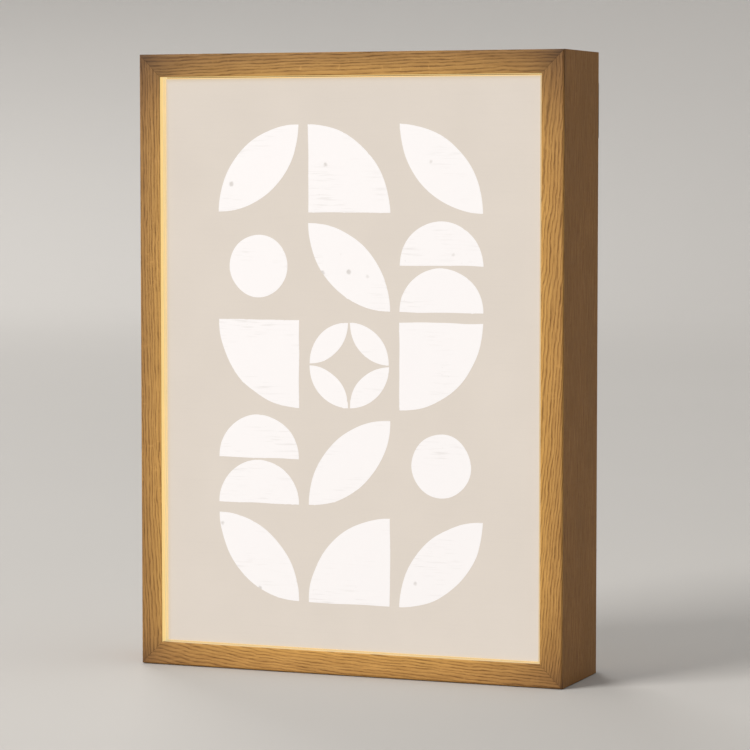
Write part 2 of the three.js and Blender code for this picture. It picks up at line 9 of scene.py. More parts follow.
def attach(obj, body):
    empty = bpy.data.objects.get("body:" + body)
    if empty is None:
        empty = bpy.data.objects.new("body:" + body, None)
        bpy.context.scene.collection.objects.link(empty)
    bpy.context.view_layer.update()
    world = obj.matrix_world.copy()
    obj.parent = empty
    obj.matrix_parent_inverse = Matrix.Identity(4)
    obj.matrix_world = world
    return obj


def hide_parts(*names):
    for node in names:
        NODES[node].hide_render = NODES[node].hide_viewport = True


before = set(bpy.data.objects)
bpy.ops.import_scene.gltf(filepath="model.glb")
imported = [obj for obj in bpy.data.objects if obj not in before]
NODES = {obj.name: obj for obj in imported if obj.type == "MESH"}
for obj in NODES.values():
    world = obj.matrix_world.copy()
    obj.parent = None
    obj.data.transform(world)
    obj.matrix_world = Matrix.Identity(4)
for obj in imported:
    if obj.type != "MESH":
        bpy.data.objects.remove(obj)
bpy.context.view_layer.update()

SCENE = bpy.context.scene

# ---- dimensions of the object, in millimetres, the same as in the CAD source ----------------------
W, H = 331.0, 454.0
FACE, OAK_D, STANDOFF = 17.0, 80.0, 12.0
Y0 = -(OAK_D + STANDOFF) / 2
YB = Y0 + OAK_D
XI, ZC = W / 2 - FACE, H / 2
ZI0, ZI1 = FACE, H - FACE
MITRE_GAP = 0.05
RAIL_MID = W / 2 - FACE / 2
PANEL_Y, PANEL_T = Y0 + 5, 3.0
PANEL_GAP, PANEL_GAP_Z = 2.3, 0.9
TOUCH = 0.3
BUTTON_Z = (110.0, 330.0)
PLATE_Z, PLATE_W, PLATE_H, PLATE_T = 412.0, 16.0, 44.0, 2.0
BUMPER_X = 156.4
SWITCH = Vector((-W / 2 + 7.3, 9.0, 90.0))
JACK = Vector((-60.0, 0.0, 66.0))
BACK_T, BACK_Y1 = 3.2, YB - 0.1
CASE = "case"


def srgb(r, g, b):
    """An sRGB colour, 0 to 255, as linear RGBA."""
    lin = [(c / 255 / 12.92) if c <= 10 else ((c / 255 + 0.055) / 1.055) ** 2.4 for c in (r, g, b)]
    return (*lin, 1.0)


# ---- materials ------------------------------------------------------------------------------------
class Mat:
    """A procedural material: short names for the shader nodes used below. Lengths are millimetres of the row frame."""

    def __init__(self, name):
        self.m = bpy.data.materials.new(name)
        self.m.use_nodes = True
        self.nt = self.m.node_tree
        self.nt.nodes.clear()
        self.out = self.nt.nodes.new("ShaderNodeOutputMaterial")
        self.bsdf = self.nt.nodes.new("ShaderNodeBsdfPrincipled")
        self.nt.links.new(self.bsdf.outputs[0], self.out.inputs[0])
        coord = self.nt.nodes.new("ShaderNodeTexCoord")
        self.p = self.vmath("SCALE", coord.outputs["Object"], scale=1000.0)

    def put(self, socket, value):
        if isinstance(value, bpy.types.NodeSocket):
            self.nt.links.new(value, socket)
        else:
            socket.default_value = value

    def math(self, op, a, b=0.0, c=0.0, clamp=False):
        n = self.nt.nodes.new("ShaderNodeMath")
        n.operation, n.use_clamp = op, clamp
        for i, v in enumerate((a, b, c)):
            self.put(n.inputs[i], v)
        return n.outputs[0]

    def vmath(self, op, a, b=(0.0, 0.0, 0.0), scale=1.0):
        n = self.nt.nodes.new("ShaderNodeVectorMath")
        n.operation = op
        self.put(n.inputs[0], a)
        if op == "SCALE":
            self.put(n.inputs["Scale"], scale)
        else:
            self.put(n.inputs[1], b)
        return n.outputs[0]

    def xyz(self, v):
        n = self.nt.nodes.new("ShaderNodeSeparateXYZ")
        self.put(n.inputs[0], v)
        return n.outputs[0], n.outputs[1], n.outputs[2]

    def vec(self, x, y, z):
        n = self.nt.nodes.new("ShaderNodeCombineXYZ")
        for i, v in enumerate((x, y, z)):
            self.put(n.inputs[i], v)
        return n.outputs[0]

    def noise(self, v, freq, detail=2.0, rough=0.5, colour=False):
        n = self.nt.nodes.new("ShaderNodeTexNoise")
        n.noise_dimensions = "3D"
        self.put(n.inputs["Vector"], self.vmath("MULTIPLY", v, freq))
        n.inputs["Scale"].default_value = 1.0
        n.inputs["Detail"].default_value = detail
        n.inputs["Roughness"].default_value = rough
        return n.outputs["Color" if colour else "Fac"]

    def voronoi(self, v, freq, feature="F1"):
        n = self.nt.nodes.new("ShaderNodeTexVoronoi")
        n.voronoi_dimensions, n.feature = "3D", feature
        self.put(n.inputs["Vector"], self.vmath("MULTIPLY", v, freq))
        n.inputs["Scale"].default_value = 1.0
        return n.outputs["Distance"], n.outputs["Color"]

    def ramp(self, fac, stops, smooth=False):
        n = self.nt.nodes.new("ShaderNodeValToRGB")
        n.color_ramp.interpolation = "EASE" if smooth else "LINEAR"
        e = n.color_ramp.elements
        while len(e) < len(stops):
            e.new(0.5)
        for i, (pos, col) in enumerate(stops):
            e[i].position = pos
            e[i].color = col if isinstance(col, (tuple, list)) else (col, col, col, 1.0)
        self.put(n.inputs[0], fac)
        return n.outputs[0]

    def span(self, v, a, b, c=0.0, d=1.0, smooth=False):
        """v from a..b mapped to c..d, clamped."""
        n = self.nt.nodes.new("ShaderNodeMapRange")
        n.interpolation_type = "SMOOTHSTEP" if smooth else "LINEAR"
        for i, x in enumerate((v, a, b, c, d)):
            self.put(n.inputs[i], x)
        return n.outputs[0]

    def mix(self, fac, a, b, blend="MIX"):
        n = self.nt.nodes.new("ShaderNodeMix")
        n.data_type, n.blend_type = "RGBA", blend
        self.put(n.inputs[0], fac)
        self.put(n.inputs[6], a)
        self.put(n.inputs[7], b)
        return n.outputs[2]

    def bump(self, height, distance_mm, strength=1.0):
        n = self.nt.nodes.new("ShaderNodeBump")
        n.inputs["Strength"].default_value = strength
        n.inputs["Distance"].default_value = distance_mm * 0.001
        self.put(n.inputs["Height"], height)
        self.nt.links.new(n.outputs[0], self.bsdf.inputs["Normal"])

    def set(self, **sockets):
        names = {"color": "Base Color", "rough": "Roughness", "metal": "Metallic", "spec": "Specular IOR Level",
                 "emit": "Emission Color", "glow": "Emission Strength", "coat": "Coat Weight", "coat_rough": "Coat Roughness",
                 "trans": "Transmission Weight", "ior": "IOR", "sheen": "Sheen Weight", "alpha": "Alpha"}
        for k, v in sockets.items():
            self.put(self.bsdf.inputs[names[k]], v)
        return self


OAK_LIGHT = srgb(190, 144, 81)
OAK_MID = srgb(166, 121, 64)
OAK_DARK = srgb(108, 70, 30)
OAK_PORE = srgb(82, 51, 22)
# painted light: GLOW and GLOW_DEEP are the emission colours the lip of each board and the print's cut edge glow with,
# and SPILL the faint glow painted onto the frame's face
GLOW = (0.77, 0.585, 0.240, 1.0)         # the lit gap, at its mouth
GLOW_DEEP = (0.57, 0.557, 0.312, 1.0)    # and farther in
SPILL = (0.150, 0.086, 0.016, 1.0)       # what of it reaches the face of the frame


def oak(name, along, centre, seed, pith, tilt, half, inward, pitch=1.8, tone=1.0, rim_dark=0.1, lip0=0.02, pinch=0.0, gain=1.0, glow=GLOW,
        wander=19.0, arch=1.0, ends=((0.58, 34.0, 1.0), (0.58, 34.0, 1.0)), lean=0.0, lit=False):
    """Oak of one board. along is the axis of the grain. The growth rings lie round a pith line beside the board, in
    millimetres (across, deep) from the board's middle, which leans by tilt, so every face shows its own cut of the same
    rings.
    half is half the board's length, and inward is the side of the board that faces the print. tone is the painted light
    on its face, lean how much lighter that painted light gets along the board, rim_dark how much painted shade darkens
    the face's outer edge, and ends how much painted shade darkens its two ends, how far that reaches, and how sharply
    it stops. The painted light on its lip is gain strong and begins lip0 behind the face, and pinch farther in at the
    ends. wander is how far its grain drifts, and arch how much it ripples."""
    m = Mat(name)
    x, y, z = m.xyz(m.p)
    a, length = (x, z) if along == "z" else (z, x)
    a = m.math("SUBTRACT", a, centre[0])
    length = m.math("SUBTRACT", length, centre[1])
    q = m.vmath("ADD", m.vec(a, y, length), (seed * 137.0, seed * 71.0, seed * 211.0))
    # the grain wanders slowly, ripples, and trembles
    slow = m.vmath("SCALE", m.vmath("SUBTRACT", m.noise(q, (0.012, 0.012, 0.0042), 1.0, 0.4, True), (0.5, 0.5, 0.5)), scale=wander)
    ripple = m.vmath("SCALE", m.vmath("SUBTRACT", m.noise(q, (0.05, 0.03, 0.036), 2.0, 0.5, True), (0.5, 0.5, 0.5)), scale=3.1 * arch)
    tremble = m.vmath("SCALE", m.vmath("SUBTRACT", m.noise(q, (0.20, 0.15, 0.105), 2.0, 0.55, True), (0.5, 0.5, 0.5)), scale=1.25 * arch)
    calm = m.span(y, Y0 + 1.0, Y0 + 18.0, 1.0, 0.5, True)
    warp = m.vmath("ADD", slow, m.vmath("MULTIPLY", m.vmath("ADD", ripple, tremble), m.vec(calm, calm, calm)))
    wa, wd, _ = m.xyz(warp)
    ra = m.math("ADD", m.math("MULTIPLY_ADD", length, tilt[0], wa), m.math("SUBTRACT", a, pith[0]))
    rd = m.math("ADD", m.math("MULTIPLY_ADD", length, tilt[1], wd), m.math("SUBTRACT", y, pith[1]))
    radius = m.math("SQRT", m.math("ADD", m.math("MULTIPLY", ra, ra), m.math("MULTIPLY", rd, rd)))
    turns = m.math("DIVIDE", radius, pitch)
    # wide years and narrow years
    uneven = m.noise(m.vec(m.math("MULTIPLY", turns, 0.43), seed, 0.0), (1.0, 1.0, 1.0), 1.0)
    phase = m.math("FRACT", m.math("MULTIPLY_ADD", uneven, 1.5, turns))
    ring = m.ramp(phase, [(0.0, 0.80), (0.06, 1.0), (0.17, 0.82), (0.34, 0.26), (0.56, 0.02), (0.88, 0.04), (1.0, 0.80)])
    early = m.ramp(phase, [(0.0, 0.9), (0.10, 1.0), (0.36, 0.35), (0.55, 0.0), (0.92, 0.0), (1.0, 0.9)])
    streak = m.noise(q, (0.85, 0.85, 0.045), 3.0, 0.6)
    dash = m.noise(q, (0.55, 0.55, 0.085), 2.0, 0.55)
    fibre = m.noise(q, (3.4, 3.4, 0.075), 2.0, 0.6)
    patch = m.noise(q, (0.035, 0.035, 0.011), 2.0, 0.5)
    pore = m.noise(q, (3.6, 3.6, 0.21), 1.0, 0.5)
    pore = m.math("MULTIPLY", m.span(pore, 0.55, 0.68), m.math("MULTIPLY_ADD", early, 0.75, 0.22))
    depth = m.math("MULTIPLY", ring, m.span(streak, 0.28, 0.72, 0.52, 1.18))
    depth = m.math("MULTIPLY", depth, m.span(dash, 0.34, 0.66, 0.42, 1.28))
    depth = m.math("MULTIPLY", depth, m.span(patch, 0.3, 0.7, 0.78, 1.08), clamp=True)
    base = m.mix(m.span(streak, 0.3, 0.72), OAK_LIGHT, OAK_MID)
    col = m.mix(m.math("MULTIPLY", depth, 0.86), base, OAK_DARK)
    col = m.mix(m.math("MULTIPLY", pore, 0.55), col, OAK_PORE)
    shade = m.math("MULTIPLY", m.span(fibre, 0.25, 0.75, 0.93, 1.06), m.span(patch, 0.25, 0.75, 0.90, 1.07))
    # painted light and shade: each board's front face is lightened or darkened by its own factor, which changes along
    # the board by lean, and the sides and the back are darkened and made browner as painted shade
    end = m.math("SUBTRACT", half, m.math("ABSOLUTE", length))
    face = m.span(y, Y0 + 0.7, Y0 + 3.4, 1.0, 0.0, True)
    here = m.math("MULTIPLY_ADD", length, tone * lean / half, tone - 0.77)
    shade = m.math("MULTIPLY", shade, m.math("MULTIPLY_ADD", face, here, 0.77))
    col = m.mix(1.0, col, m.vec(shade, m.math("MULTIPLY", shade, m.span(face, 0.0, 1.0, 0.90, 1.0)),
                                m.math("MULTIPLY", shade, m.span(face, 0.0, 1.0, 0.76, 0.985))), "MULTIPLY")
    # open pores show as short dark dashes where the wide sides cut the early wood
    vessel = m.noise(q, (1.3, 1.3, 0.055), 2.0, 0.55)
    vessel = m.math("MULTIPLY", m.span(vessel, 0.54, 0.66), m.math("MULTIPLY_ADD", early, 0.85, 0.15))
    vessel = m.math("MULTIPLY", vessel, m.math("SUBTRACT", 1.0, face))
    col = m.mix(m.math("MULTIPLY", vessel, 0.38), col, OAK_PORE)
    # quarter-cut flecks: short silky bands across the grain
    fleck = m.noise(q, (0.16, 0.9, 0.30), 1.0, 0.4)
    fleck = m.math("MULTIPLY", m.span(fleck, 0.66, 0.74), m.span(patch, 0.42, 0.6))
    col = m.mix(m.math("MULTIPLY", fleck, 0.30), col, OAK_LIGHT)
    # painted shade: the face darkens towards the mitres and towards its outer edge
    fade = 0.0
    for way, (amount, reach, power) in ((1.0, ends[0]), (-1.0, ends[1])):
        from_end = m.math("MAXIMUM", m.math("MULTIPLY_ADD", length, way, half), 0.0)
        falling = m.math("EXPONENT", m.math("MULTIPLY", m.math("POWER", m.math("DIVIDE", from_end, reach), power), -1.0))
        fade = m.math("MULTIPLY_ADD", falling, amount, fade)
    painted_shade = m.math("SUBTRACT", 1.0, m.math("MULTIPLY", fade, face))
    rim = m.math("MULTIPLY", a, inward)
    painted_shade = m.math("MULTIPLY", painted_shade, m.math("SUBTRACT", 1.0, m.math("MULTIPLY", m.span(rim, -8.5, 0.0, rim_dark, 0.0), face)))
    painted_shade_green = m.math("MULTIPLY", painted_shade, m.math("MULTIPLY_ADD", painted_shade, 0.13, 0.87))
    col = m.mix(1.0, col, m.vec(painted_shade, painted_shade_green, m.math("MULTIPLY_ADD", painted_shade, 0.96, 0.04)), "MULTIPLY")
    rough = m.math("ADD", m.span(streak, 0.2, 0.8, 0.50, 0.60), m.math("MULTIPLY", pore, 0.2))
    m.set(color=col, rough=rough, spec=0.22)
    # painted light: a faint glow on the front face near its inner edge, weaker towards the mitres and on the dark
    # grain, standing in for light from the gap
    spill = m.math("EXPONENT", m.math("DIVIDE", m.math("SUBTRACT", 8.5, rim), -8.5))
    spill = m.math("MULTIPLY", spill, m.span(y, Y0 + 0.15, Y0 + 1.7, 1.0, 0.0, True))
    spill = m.math("MULTIPLY", spill, m.math("SUBTRACT", 1.0, m.math("MULTIPLY", m.math("EXPONENT", m.math("DIVIDE", end, -42.0)), 0.9)))
    spill = m.math("MULTIPLY", spill, m.math("SUBTRACT", 1.0, m.math("MULTIPLY", depth, 0.5)))
    height = m.math("SUBTRACT", m.math("MULTIPLY", fibre, 0.25), m.math("MULTIPLY_ADD", pore, 1.0, m.math("MULTIPLY", depth, 0.35)))
    m.bump(height, 0.12, 0.55)
    if lit:
        # painted light: the lip round the print glows, standing in for the light behind it; the wash of painted light
        # fades over the eased inner edge
        deep = m.math("SUBTRACT", y, m.math("MULTIPLY", m.math("EXPONENT", m.math("DIVIDE", m.math("SUBTRACT", end, FACE), -16.0)), pinch))
        wash = m.math("MULTIPLY", m.span(deep, Y0 + lip0, Y0 + lip0 + 0.6, 0.0, gain, True), m.span(streak, 0.3, 0.7, 1.0, 0.95))
        lit_by = m.mix(m.span(y, Y0 + 3.0, Y0 + 6.5, 0.0, 1.0, True), glow, GLOW_DEEP)
        m.set(emit=m.mix(wash, m.mix(1.0, SPILL, m.vec(spill, spill, spill), "MULTIPLY"), lit_by), glow=1.0)
    else:
        m.set(emit=SPILL, glow=spill)
    return m.m


def board_materials(key, *args, **kw):
    return oak(f"oak_{key}", *args, **kw), oak(f"oak_{key}_lip", *args, lit=True, **kw)


# per board: the painted light on its face and lip, and the painted shade at its outer edge and ends
OAKS = {
    "rail_left": board_materials("left", "z", (-RAIL_MID, ZC), 1.0, (72.0, 8.0), (0.024, 0.012), H / 2, 1, pitch=1.9, tone=0.791,
                                 lean=-0.035, rim_dark=0.18, wander=12.0, ends=((0.68, 14.6, 1.0), (0.57, 45.0, 1.2))),
    "rail_right": board_materials("right", "z", (RAIL_MID, ZC), 2.3, (-128.0, -150.0), (-0.095, 0.01), H / 2, -1, pitch=1.65,
                                  tone=0.936, lean=-0.05, rim_dark=0.02, lip0=0.85, gain=0.9, wander=13.0,
                                  ends=((0.695, 21.3, 1.0), (0.58, 42.0, 1.5))),
    "rail_top": board_materials("top", "x", (H - FACE / 2, 0.0), 3.7, (-70.0, 4.0), (-0.014, 0.010), W / 2, -1, pitch=2.08,
                                tone=0.719, lean=0.043, rim_dark=0.18, lip0=0.05, wander=8.0, arch=0.8,
                                ends=((0.69, 34.5, 1.0), (0.76, 26.7, 1.0))),
    "rail_bottom": board_materials("bottom", "x", (FACE / 2, 0.0), 5.1, (-64.0, 14.0), (0.050, -0.03), W / 2, 1, pitch=1.8,
                                   tone=1.0, rim_dark=0.04, lip0=0.30, pinch=1.6, gain=0.8, glow=(0.57, 0.555, 0.355, 1.0),
                                   ends=((0.54, 34.0, 1.0), (0.46, 52.0, 1.5))),
}


def print_ground():
    m = Mat("print_ground")
    x, _, z = m.xyz(m.p)
    cloud = m.noise(m.p, (0.02, 0.02, 0.02), 2.0)
    grain = m.noise(m.p, (2.2, 2.2, 2.2), 2.0)
    line = m.noise(m.p, (0.03, 0.03, 0.9), 2.0)
    # the lights behind show as a very faint swell every 56 mm
    swell = m.math("COSINE", m.math("MULTIPLY", x, 2 * math.pi / 56))
    v = m.math("ADD", m.span(cloud, 0.3, 0.7, 0.985, 1.012), m.span(grain, 0.3, 0.7, -0.008, 0.008))
    v = m.math("ADD", v, m.span(line, 0.55, 0.7, 0.0, -0.010))
    v = m.math("MULTIPLY_ADD", swell, 0.003, v)
    tint = m.vec(v, v, v)
    # painted light: the colour and the glow turn warm and bright round the cut edge, the most where the gap is widest
    # to look into
    creep = 0.0
    for v_, edge, way, amount in ((x, -(XI - PANEL_GAP), 1, 0.80), (z, ZI1 - PANEL_GAP_Z, -1, 0.85), (z, ZI0 + PANEL_GAP_Z, 1, 0.25),
                                  (x, XI - PANEL_GAP, -1, 0.03)):
        d = m.math("MULTIPLY", m.math("SUBTRACT", v_, edge), way)
        creep = m.math("MAXIMUM", creep, m.math("MULTIPLY", m.math("EXPONENT", m.math("DIVIDE", d, -0.95)), amount))
    ground = m.mix(creep, m.mix(1.0, srgb(223, 213, 202), tint, "MULTIPLY"), srgb(246, 215, 158))
    # painted light: the sheet's glow is a little stronger towards the right, a little weaker towards the top, and
    # stronger near the cut edge
    even = m.math("ADD", m.span(x, -146.0, 146.0, 0.632, 0.659), m.span(z, 20.0, 434.0, 0.0, -0.024))
    m.set(color=m.mix(1.0, ground, (0.30, 0.30, 0.30, 1.0), "MULTIPLY"), rough=0.62, spec=0.18, emit=ground,
          glow=m.math("MULTIPLY_ADD", creep, 0.12, even))
    m.bump(grain, 0.02, 0.25)
    return m.m


def print_white():
    """The light shapes of the print: a little uneven, with worn specks and faint lines, as from a wooden block."""
    m = Mat("print_white")
    seedp = m.vmath("ADD", m.p, (31.0, 0.0, 57.0))
    patch = m.noise(seedp, (0.022, 0.022, 0.03), 2.0)
    line = m.noise(seedp, (0.045, 0.045, 0.75), 3.0, 0.55)
    lines = m.math("MULTIPLY", m.span(line, 0.54, 0.70), m.span(patch, 0.48, 0.62))
    wob = m.vmath("ADD", seedp, m.vmath("SCALE", m.noise(seedp, (0.5, 0.5, 0.5), 1.0, 0.5, True), scale=1.6))
    dist, cell = m.voronoi(wob, (0.058, 0.001, 0.058))
    pick, size, _ = m.xyz(cell)
    dist = m.math("DIVIDE", dist, 0.058)
    speck = m.math("MULTIPLY", m.span(m.math("SUBTRACT", dist, m.math("MULTIPLY", size, 1.35)), -0.2, 1.0, 1.0, 0.0), m.span(pick, 0.42, 0.44))
    dist2, cell2 = m.voronoi(wob, (0.21, 0.001, 0.21))
    pick2, _, _ = m.xyz(cell2)
    dust = m.math("MULTIPLY", m.span(m.math("DIVIDE", dist2, 0.21), 0.12, 0.55, 1.0, 0.0), m.span(pick2, 0.72, 0.74))
    dust = m.math("MULTIPLY", dust, m.span(patch, 0.5, 0.6, 0.15, 1.0))
    worn = m.math("MAXIMUM", m.math("MULTIPLY", speck, 0.75), m.math("MULTIPLY", dust, 0.5))
    worn = m.math("MAXIMUM", worn, m.math("MULTIPLY", lines, 0.34))
    white = m.mix(worn, srgb(249, 245, 244), srgb(208, 202, 197))
    m.set(color=m.mix(1.0, white, (0.30, 0.30, 0.30, 1.0), "MULTIPLY"), rough=0.6, spec=0.16, emit=white, glow=0.66)
    return m.m


def edge_glow():
    """The saw-cut edge of the print panel, glowing with painted light as if lit from behind, duller and greyer on the
    right-hand edge.
    """
    m = Mat("print_edge")
    n = m.noise(m.p, (0.8, 3.0, 0.8), 2.0)
    x, _, _ = m.xyz(m.p)
    right = m.span(x, 145.0, 145.9)
    m.set(color=m.mix(right, m.mix(n, srgb(240, 214, 170), srgb(226, 196, 150)), srgb(150, 146, 138)), rough=0.45,
          emit=m.mix(right, GLOW, (0.62, 0.50, 0.33, 1.0)), glow=m.span(n, 0.3, 0.7, 0.55, 0.70))
    m.bump(n, 0.03, 0.3)
    return m.m


def opal():
    m = Mat("opal_diffuser")
    x, _, z = m.xyz(m.p)
    swell = m.math("MULTIPLY_ADD", m.math("COSINE", m.math("MULTIPLY", z, 2 * math.pi / 32.5)), 0.02, 1.0)
    swell = m.math("MULTIPLY", swell, m.math("MULTIPLY_ADD", m.math("COSINE", m.math("MULTIPLY", x, 2 * math.pi / 56)), 0.02, 1.0))
    n = m.noise(m.p, (0.03, 0.03, 0.03), 2.0)
    m.set(color=(0.32, 0.26, 0.17, 1.0), rough=0.4, emit=m.mix(n, (0.90, 0.60, 0.25, 1.0), (0.90, 0.63, 0.29, 1.0)),
          glow=swell)
    return m.m


def silicone():
    """Milky sleeve of the halo strip: lit through, faintly beaded by the lights inside, with opaque caps at its two ends."""
    m = Mat("halo_silicone")
    x, y, z = m.xyz(m.p)
    along = m.math("ABSOLUTE", x)
    run = m.mix(m.span(along, 116.0, 117.0), m.vec(x, x, x), m.vec(z, z, z))
    bead = m.math("COSINE", m.math("MULTIPLY", m.xyz(run)[0], 2 * math.pi / 8.33))
    side = m.span(y, YB + 0.4, YB + 2.6, 0.45, 1.0, True)
    cap = m.math("MULTIPLY", m.span(along, 6.4, 6.9, 1.0, 0.0), m.span(z, 400.0, 401.0))
    n = m.noise(m.p, (0.6, 0.6, 0.6), 2.0)
    glow = m.math("MULTIPLY", m.math("MULTIPLY_ADD", bead, 0.07, 1.0), side)
    glow = m.math("MULTIPLY", glow, m.math("SUBTRACT", 1.0, cap))
    m.set(color=m.mix(cap, m.mix(n, (0.52, 0.42, 0.28, 1.0), (0.46, 0.37, 0.24, 1.0)), srgb(240, 230, 208)),
          rough=m.span(n, 0.3, 0.7, 0.42, 0.54), emit=(1.0, 0.55, 0.19, 1.0), glow=m.math("MULTIPLY", glow, 1.2))
    m.bump(n, 0.05, 0.2)
    return m.m


def metal(name, colour, rough, brushed=(0.3, 4.0, 4.0), scratch=0.35, tarnish=None):
    m = Mat(name)
    brush = m.noise(m.p, brushed, 3.0, 0.6)
    blot = m.noise(m.p, (0.16, 0.16, 0.16), 3.0, 0.6)
    scr = m.noise(m.p, (0.5, 2.2, 9.0), 2.0, 0.7)
    col = m.mix(m.span(blot, 0.35, 0.68), colour, tarnish or tuple(c * 0.82 for c in colour[:3]) + (1.0,))
    col = m.mix(m.math("MULTIPLY", m.span(brush, 0.3, 0.7), 0.25), col, (0.9, 0.9, 0.9, 1.0), "MULTIPLY")
    r = m.math("ADD", m.span(brush, 0.25, 0.75, rough - 0.06, rough + 0.08), m.math("MULTIPLY", m.span(scr, 0.62, 0.75), 0.12))
    m.set(color=col, metal=1.0, rough=r)
    m.bump(m.math("ADD", m.math("MULTIPLY", brush, 0.5), m.math("MULTIPLY", scr, scratch)), 0.02, 0.35)
    return m.m


def plastic(name, colour, rough=0.4, grain=3.0, spec=0.5, depth=0.03):
    m = Mat(name)
    spark = m.noise(m.p, (grain, grain, grain), 3.0, 0.6)
    soft = m.noise(m.p, (0.12, 0.12, 0.12), 2.0)
    lighter = tuple(min(1.0, c * 1.35 + 0.004) for c in colour[:3]) + (1.0,)
    m.set(color=m.mix(m.span(soft, 0.3, 0.7), colour, lighter), rough=m.span(spark, 0.25, 0.75, rough - 0.05, rough + 0.08), spec=spec)
    m.bump(spark, depth, 0.35)
    return m.m


def rubber():
    m = Mat("rubber")
    fine = m.noise(m.p, (2.4, 2.4, 2.4), 3.0, 0.6)
    dust = m.noise(m.p, (0.35, 0.35, 0.35), 3.0, 0.65)
    m.set(color=m.mix(m.span(dust, 0.45, 0.75, 0.0, 0.6), srgb(27, 27, 29), srgb(62, 60, 57)), rough=m.span(fine, 0.3, 0.7, 0.66, 0.82), spec=0.3)
    m.bump(fine, 0.05, 0.4)
    return m.m


def hardboard():
    """White-lacquered hardboard: a rolled coat with a faint orange peel, and a fibrous brown edge in the cut slots."""
    m = Mat("hardboard_lacquered")
    _, y, _ = m.xyz(m.p)
    peel = m.noise(m.p, (0.55, 0.55, 0.55), 2.0, 0.5)
    fibre = m.noise(m.p, (1.6, 0.5, 0.28), 3.0, 0.6)
    cloud = m.noise(m.p, (0.014, 0.014, 0.018), 3.0, 0.5)
    scuff = m.noise(m.p, (0.05, 0.4, 0.9), 3.0, 0.7)
    scuff = m.math("MULTIPLY", m.span(scuff, 0.64, 0.72), m.span(cloud, 0.48, 0.62))
    coat = m.mix(m.span(cloud, 0.3, 0.7), srgb(232, 229, 222), srgb(224, 220, 211))
    coat = m.mix(m.math("MULTIPLY", scuff, 0.22), coat, srgb(188, 182, 172))
    raw = m.mix(m.span(fibre, 0.3, 0.7), srgb(126, 92, 62), srgb(96, 68, 44))
    inside = m.span(y, BACK_Y1 - 0.75, BACK_Y1 - 0.45, 1.0, 0.0)
    m.set(color=m.mix(inside, coat, raw), rough=m.span(peel, 0.3, 0.7, 0.40, 0.52), spec=0.4)
    m.bump(m.math("ADD", m.math("MULTIPLY", peel, 0.8), m.math("MULTIPLY", fibre, 0.2)), 0.05, 0.3)
    return m.m


def plain_wood(name, light, dark, along="z"):
    m = Mat(name)
    f = {"z": (0.5, 0.5, 0.02), "x": (0.02, 0.5, 0.5), "y": (0.5, 0.02, 0.5)}[along]
    f2 = tuple(c * 5 for c in f)
    ring = m.noise(m.p, f, 3.0, 0.5)
    fibre = m.noise(m.p, f2, 2.0, 0.6)
    m.set(color=m.mix(m.math("ADD", m.span(ring, 0.35, 0.65, 0.0, 0.8), m.span(fibre, 0.4, 0.8, 0.0, 0.2)), light, dark), rough=0.7, spec=0.25)
    m.bump(fibre, 0.08, 0.4)
    return m.m


def painted_metal():
    m = Mat("tray_white")
    n = m.noise(m.p, (0.8, 0.8, 0.8), 2.0)
    m.set(color=m.mix(n, srgb(244, 243, 239), srgb(236, 234, 228)), rough=m.span(n, 0.3, 0.7, 0.46, 0.56), spec=0.45)
    m.bump(n, 0.04, 0.25)
    return m.m


def circuit_board():
    m = Mat("strip_board")
    _, _, z = m.xyz(m.p)
    pad = m.math("GREATER_THAN", m.math("COSINE", m.math("MULTIPLY", z, 2 * math.pi / 32.5)), 0.93)
    n = m.noise(m.p, (1.5, 1.5, 1.5), 2.0)
    m.set(color=m.mix(m.math("MULTIPLY", pad, 0.7), m.mix(n, srgb(244, 243, 232), srgb(236, 235, 222)), srgb(205, 160, 84)), rough=0.42)
    m.bump(n, 0.02, 0.3)
    return m.m


def clear_disc():
    m = Mat("clear_acrylic")
    n = m.noise(m.p, (0.4, 0.4, 0.4), 2.0)
    m.set(color=m.mix(n, srgb(240, 245, 246), srgb(228, 236, 238)), rough=m.span(n, 0.3, 0.7, 0.05, 0.12), trans=0.85, ior=1.49)
    return m.m


def ink_white():
    m = Mat("switch_marks")
    n = m.noise(m.p, (3.0, 3.0, 3.0), 2.0)
    m.set(color=m.mix(n, srgb(232, 232, 228), srgb(214, 214, 208)), rough=0.5)
    return m.m


GROUND, WHITE, EDGE, OPAL, SILICONE = print_ground(), print_white(), edge_glow(), opal(), silicone()
ZINC = metal("zinc_steel", (0.60, 0.61, 0.62, 1.0), 0.30, tarnish=(0.50, 0.50, 0.49, 1.0))
STEEL = metal("hanger_steel", (0.42, 0.425, 0.43, 1.0), 0.43, brushed=(3.5, 3.5, 0.12), tarnish=(0.34, 0.335, 0.33, 1.0))
BRIGHT = metal("bright_zinc", (0.76, 0.77, 0.78, 1.0), 0.26, tarnish=(0.66, 0.66, 0.65, 1.0))
TERMINAL = metal("terminal_brass", (0.72, 0.52, 0.26, 1.0), 0.34)
BLACK = plastic("black_plastic", srgb(23, 24, 26)[:3] + (1.0,), 0.42, 3.2)
BLACK_GLOSS = plastic("black_gloss", srgb(20, 21, 23)[:3] + (1.0,), 0.30, 0.5, depth=0.006)
LEAD = plastic("lead_sleeve", srgb(42, 43, 45)[:3] + (1.0,), 0.5, 1.8, 0.4)
RUBBER, BOARD_WHITE, PAINT, PCB, CLEAR, INK = rubber(), hardboard(), painted_metal(), circuit_board(), clear_disc(), ink_white()
BEECH = plain_wood("beech", srgb(208, 164, 112), srgb(180, 134, 86), "y")
PINE_Z = plain_wood("pine_upright", srgb(220, 188, 134), srgb(190, 148, 92), "z")
PINE_X = plain_wood("pine_level", srgb(220, 188, 134), srgb(190, 148, 92), "x")


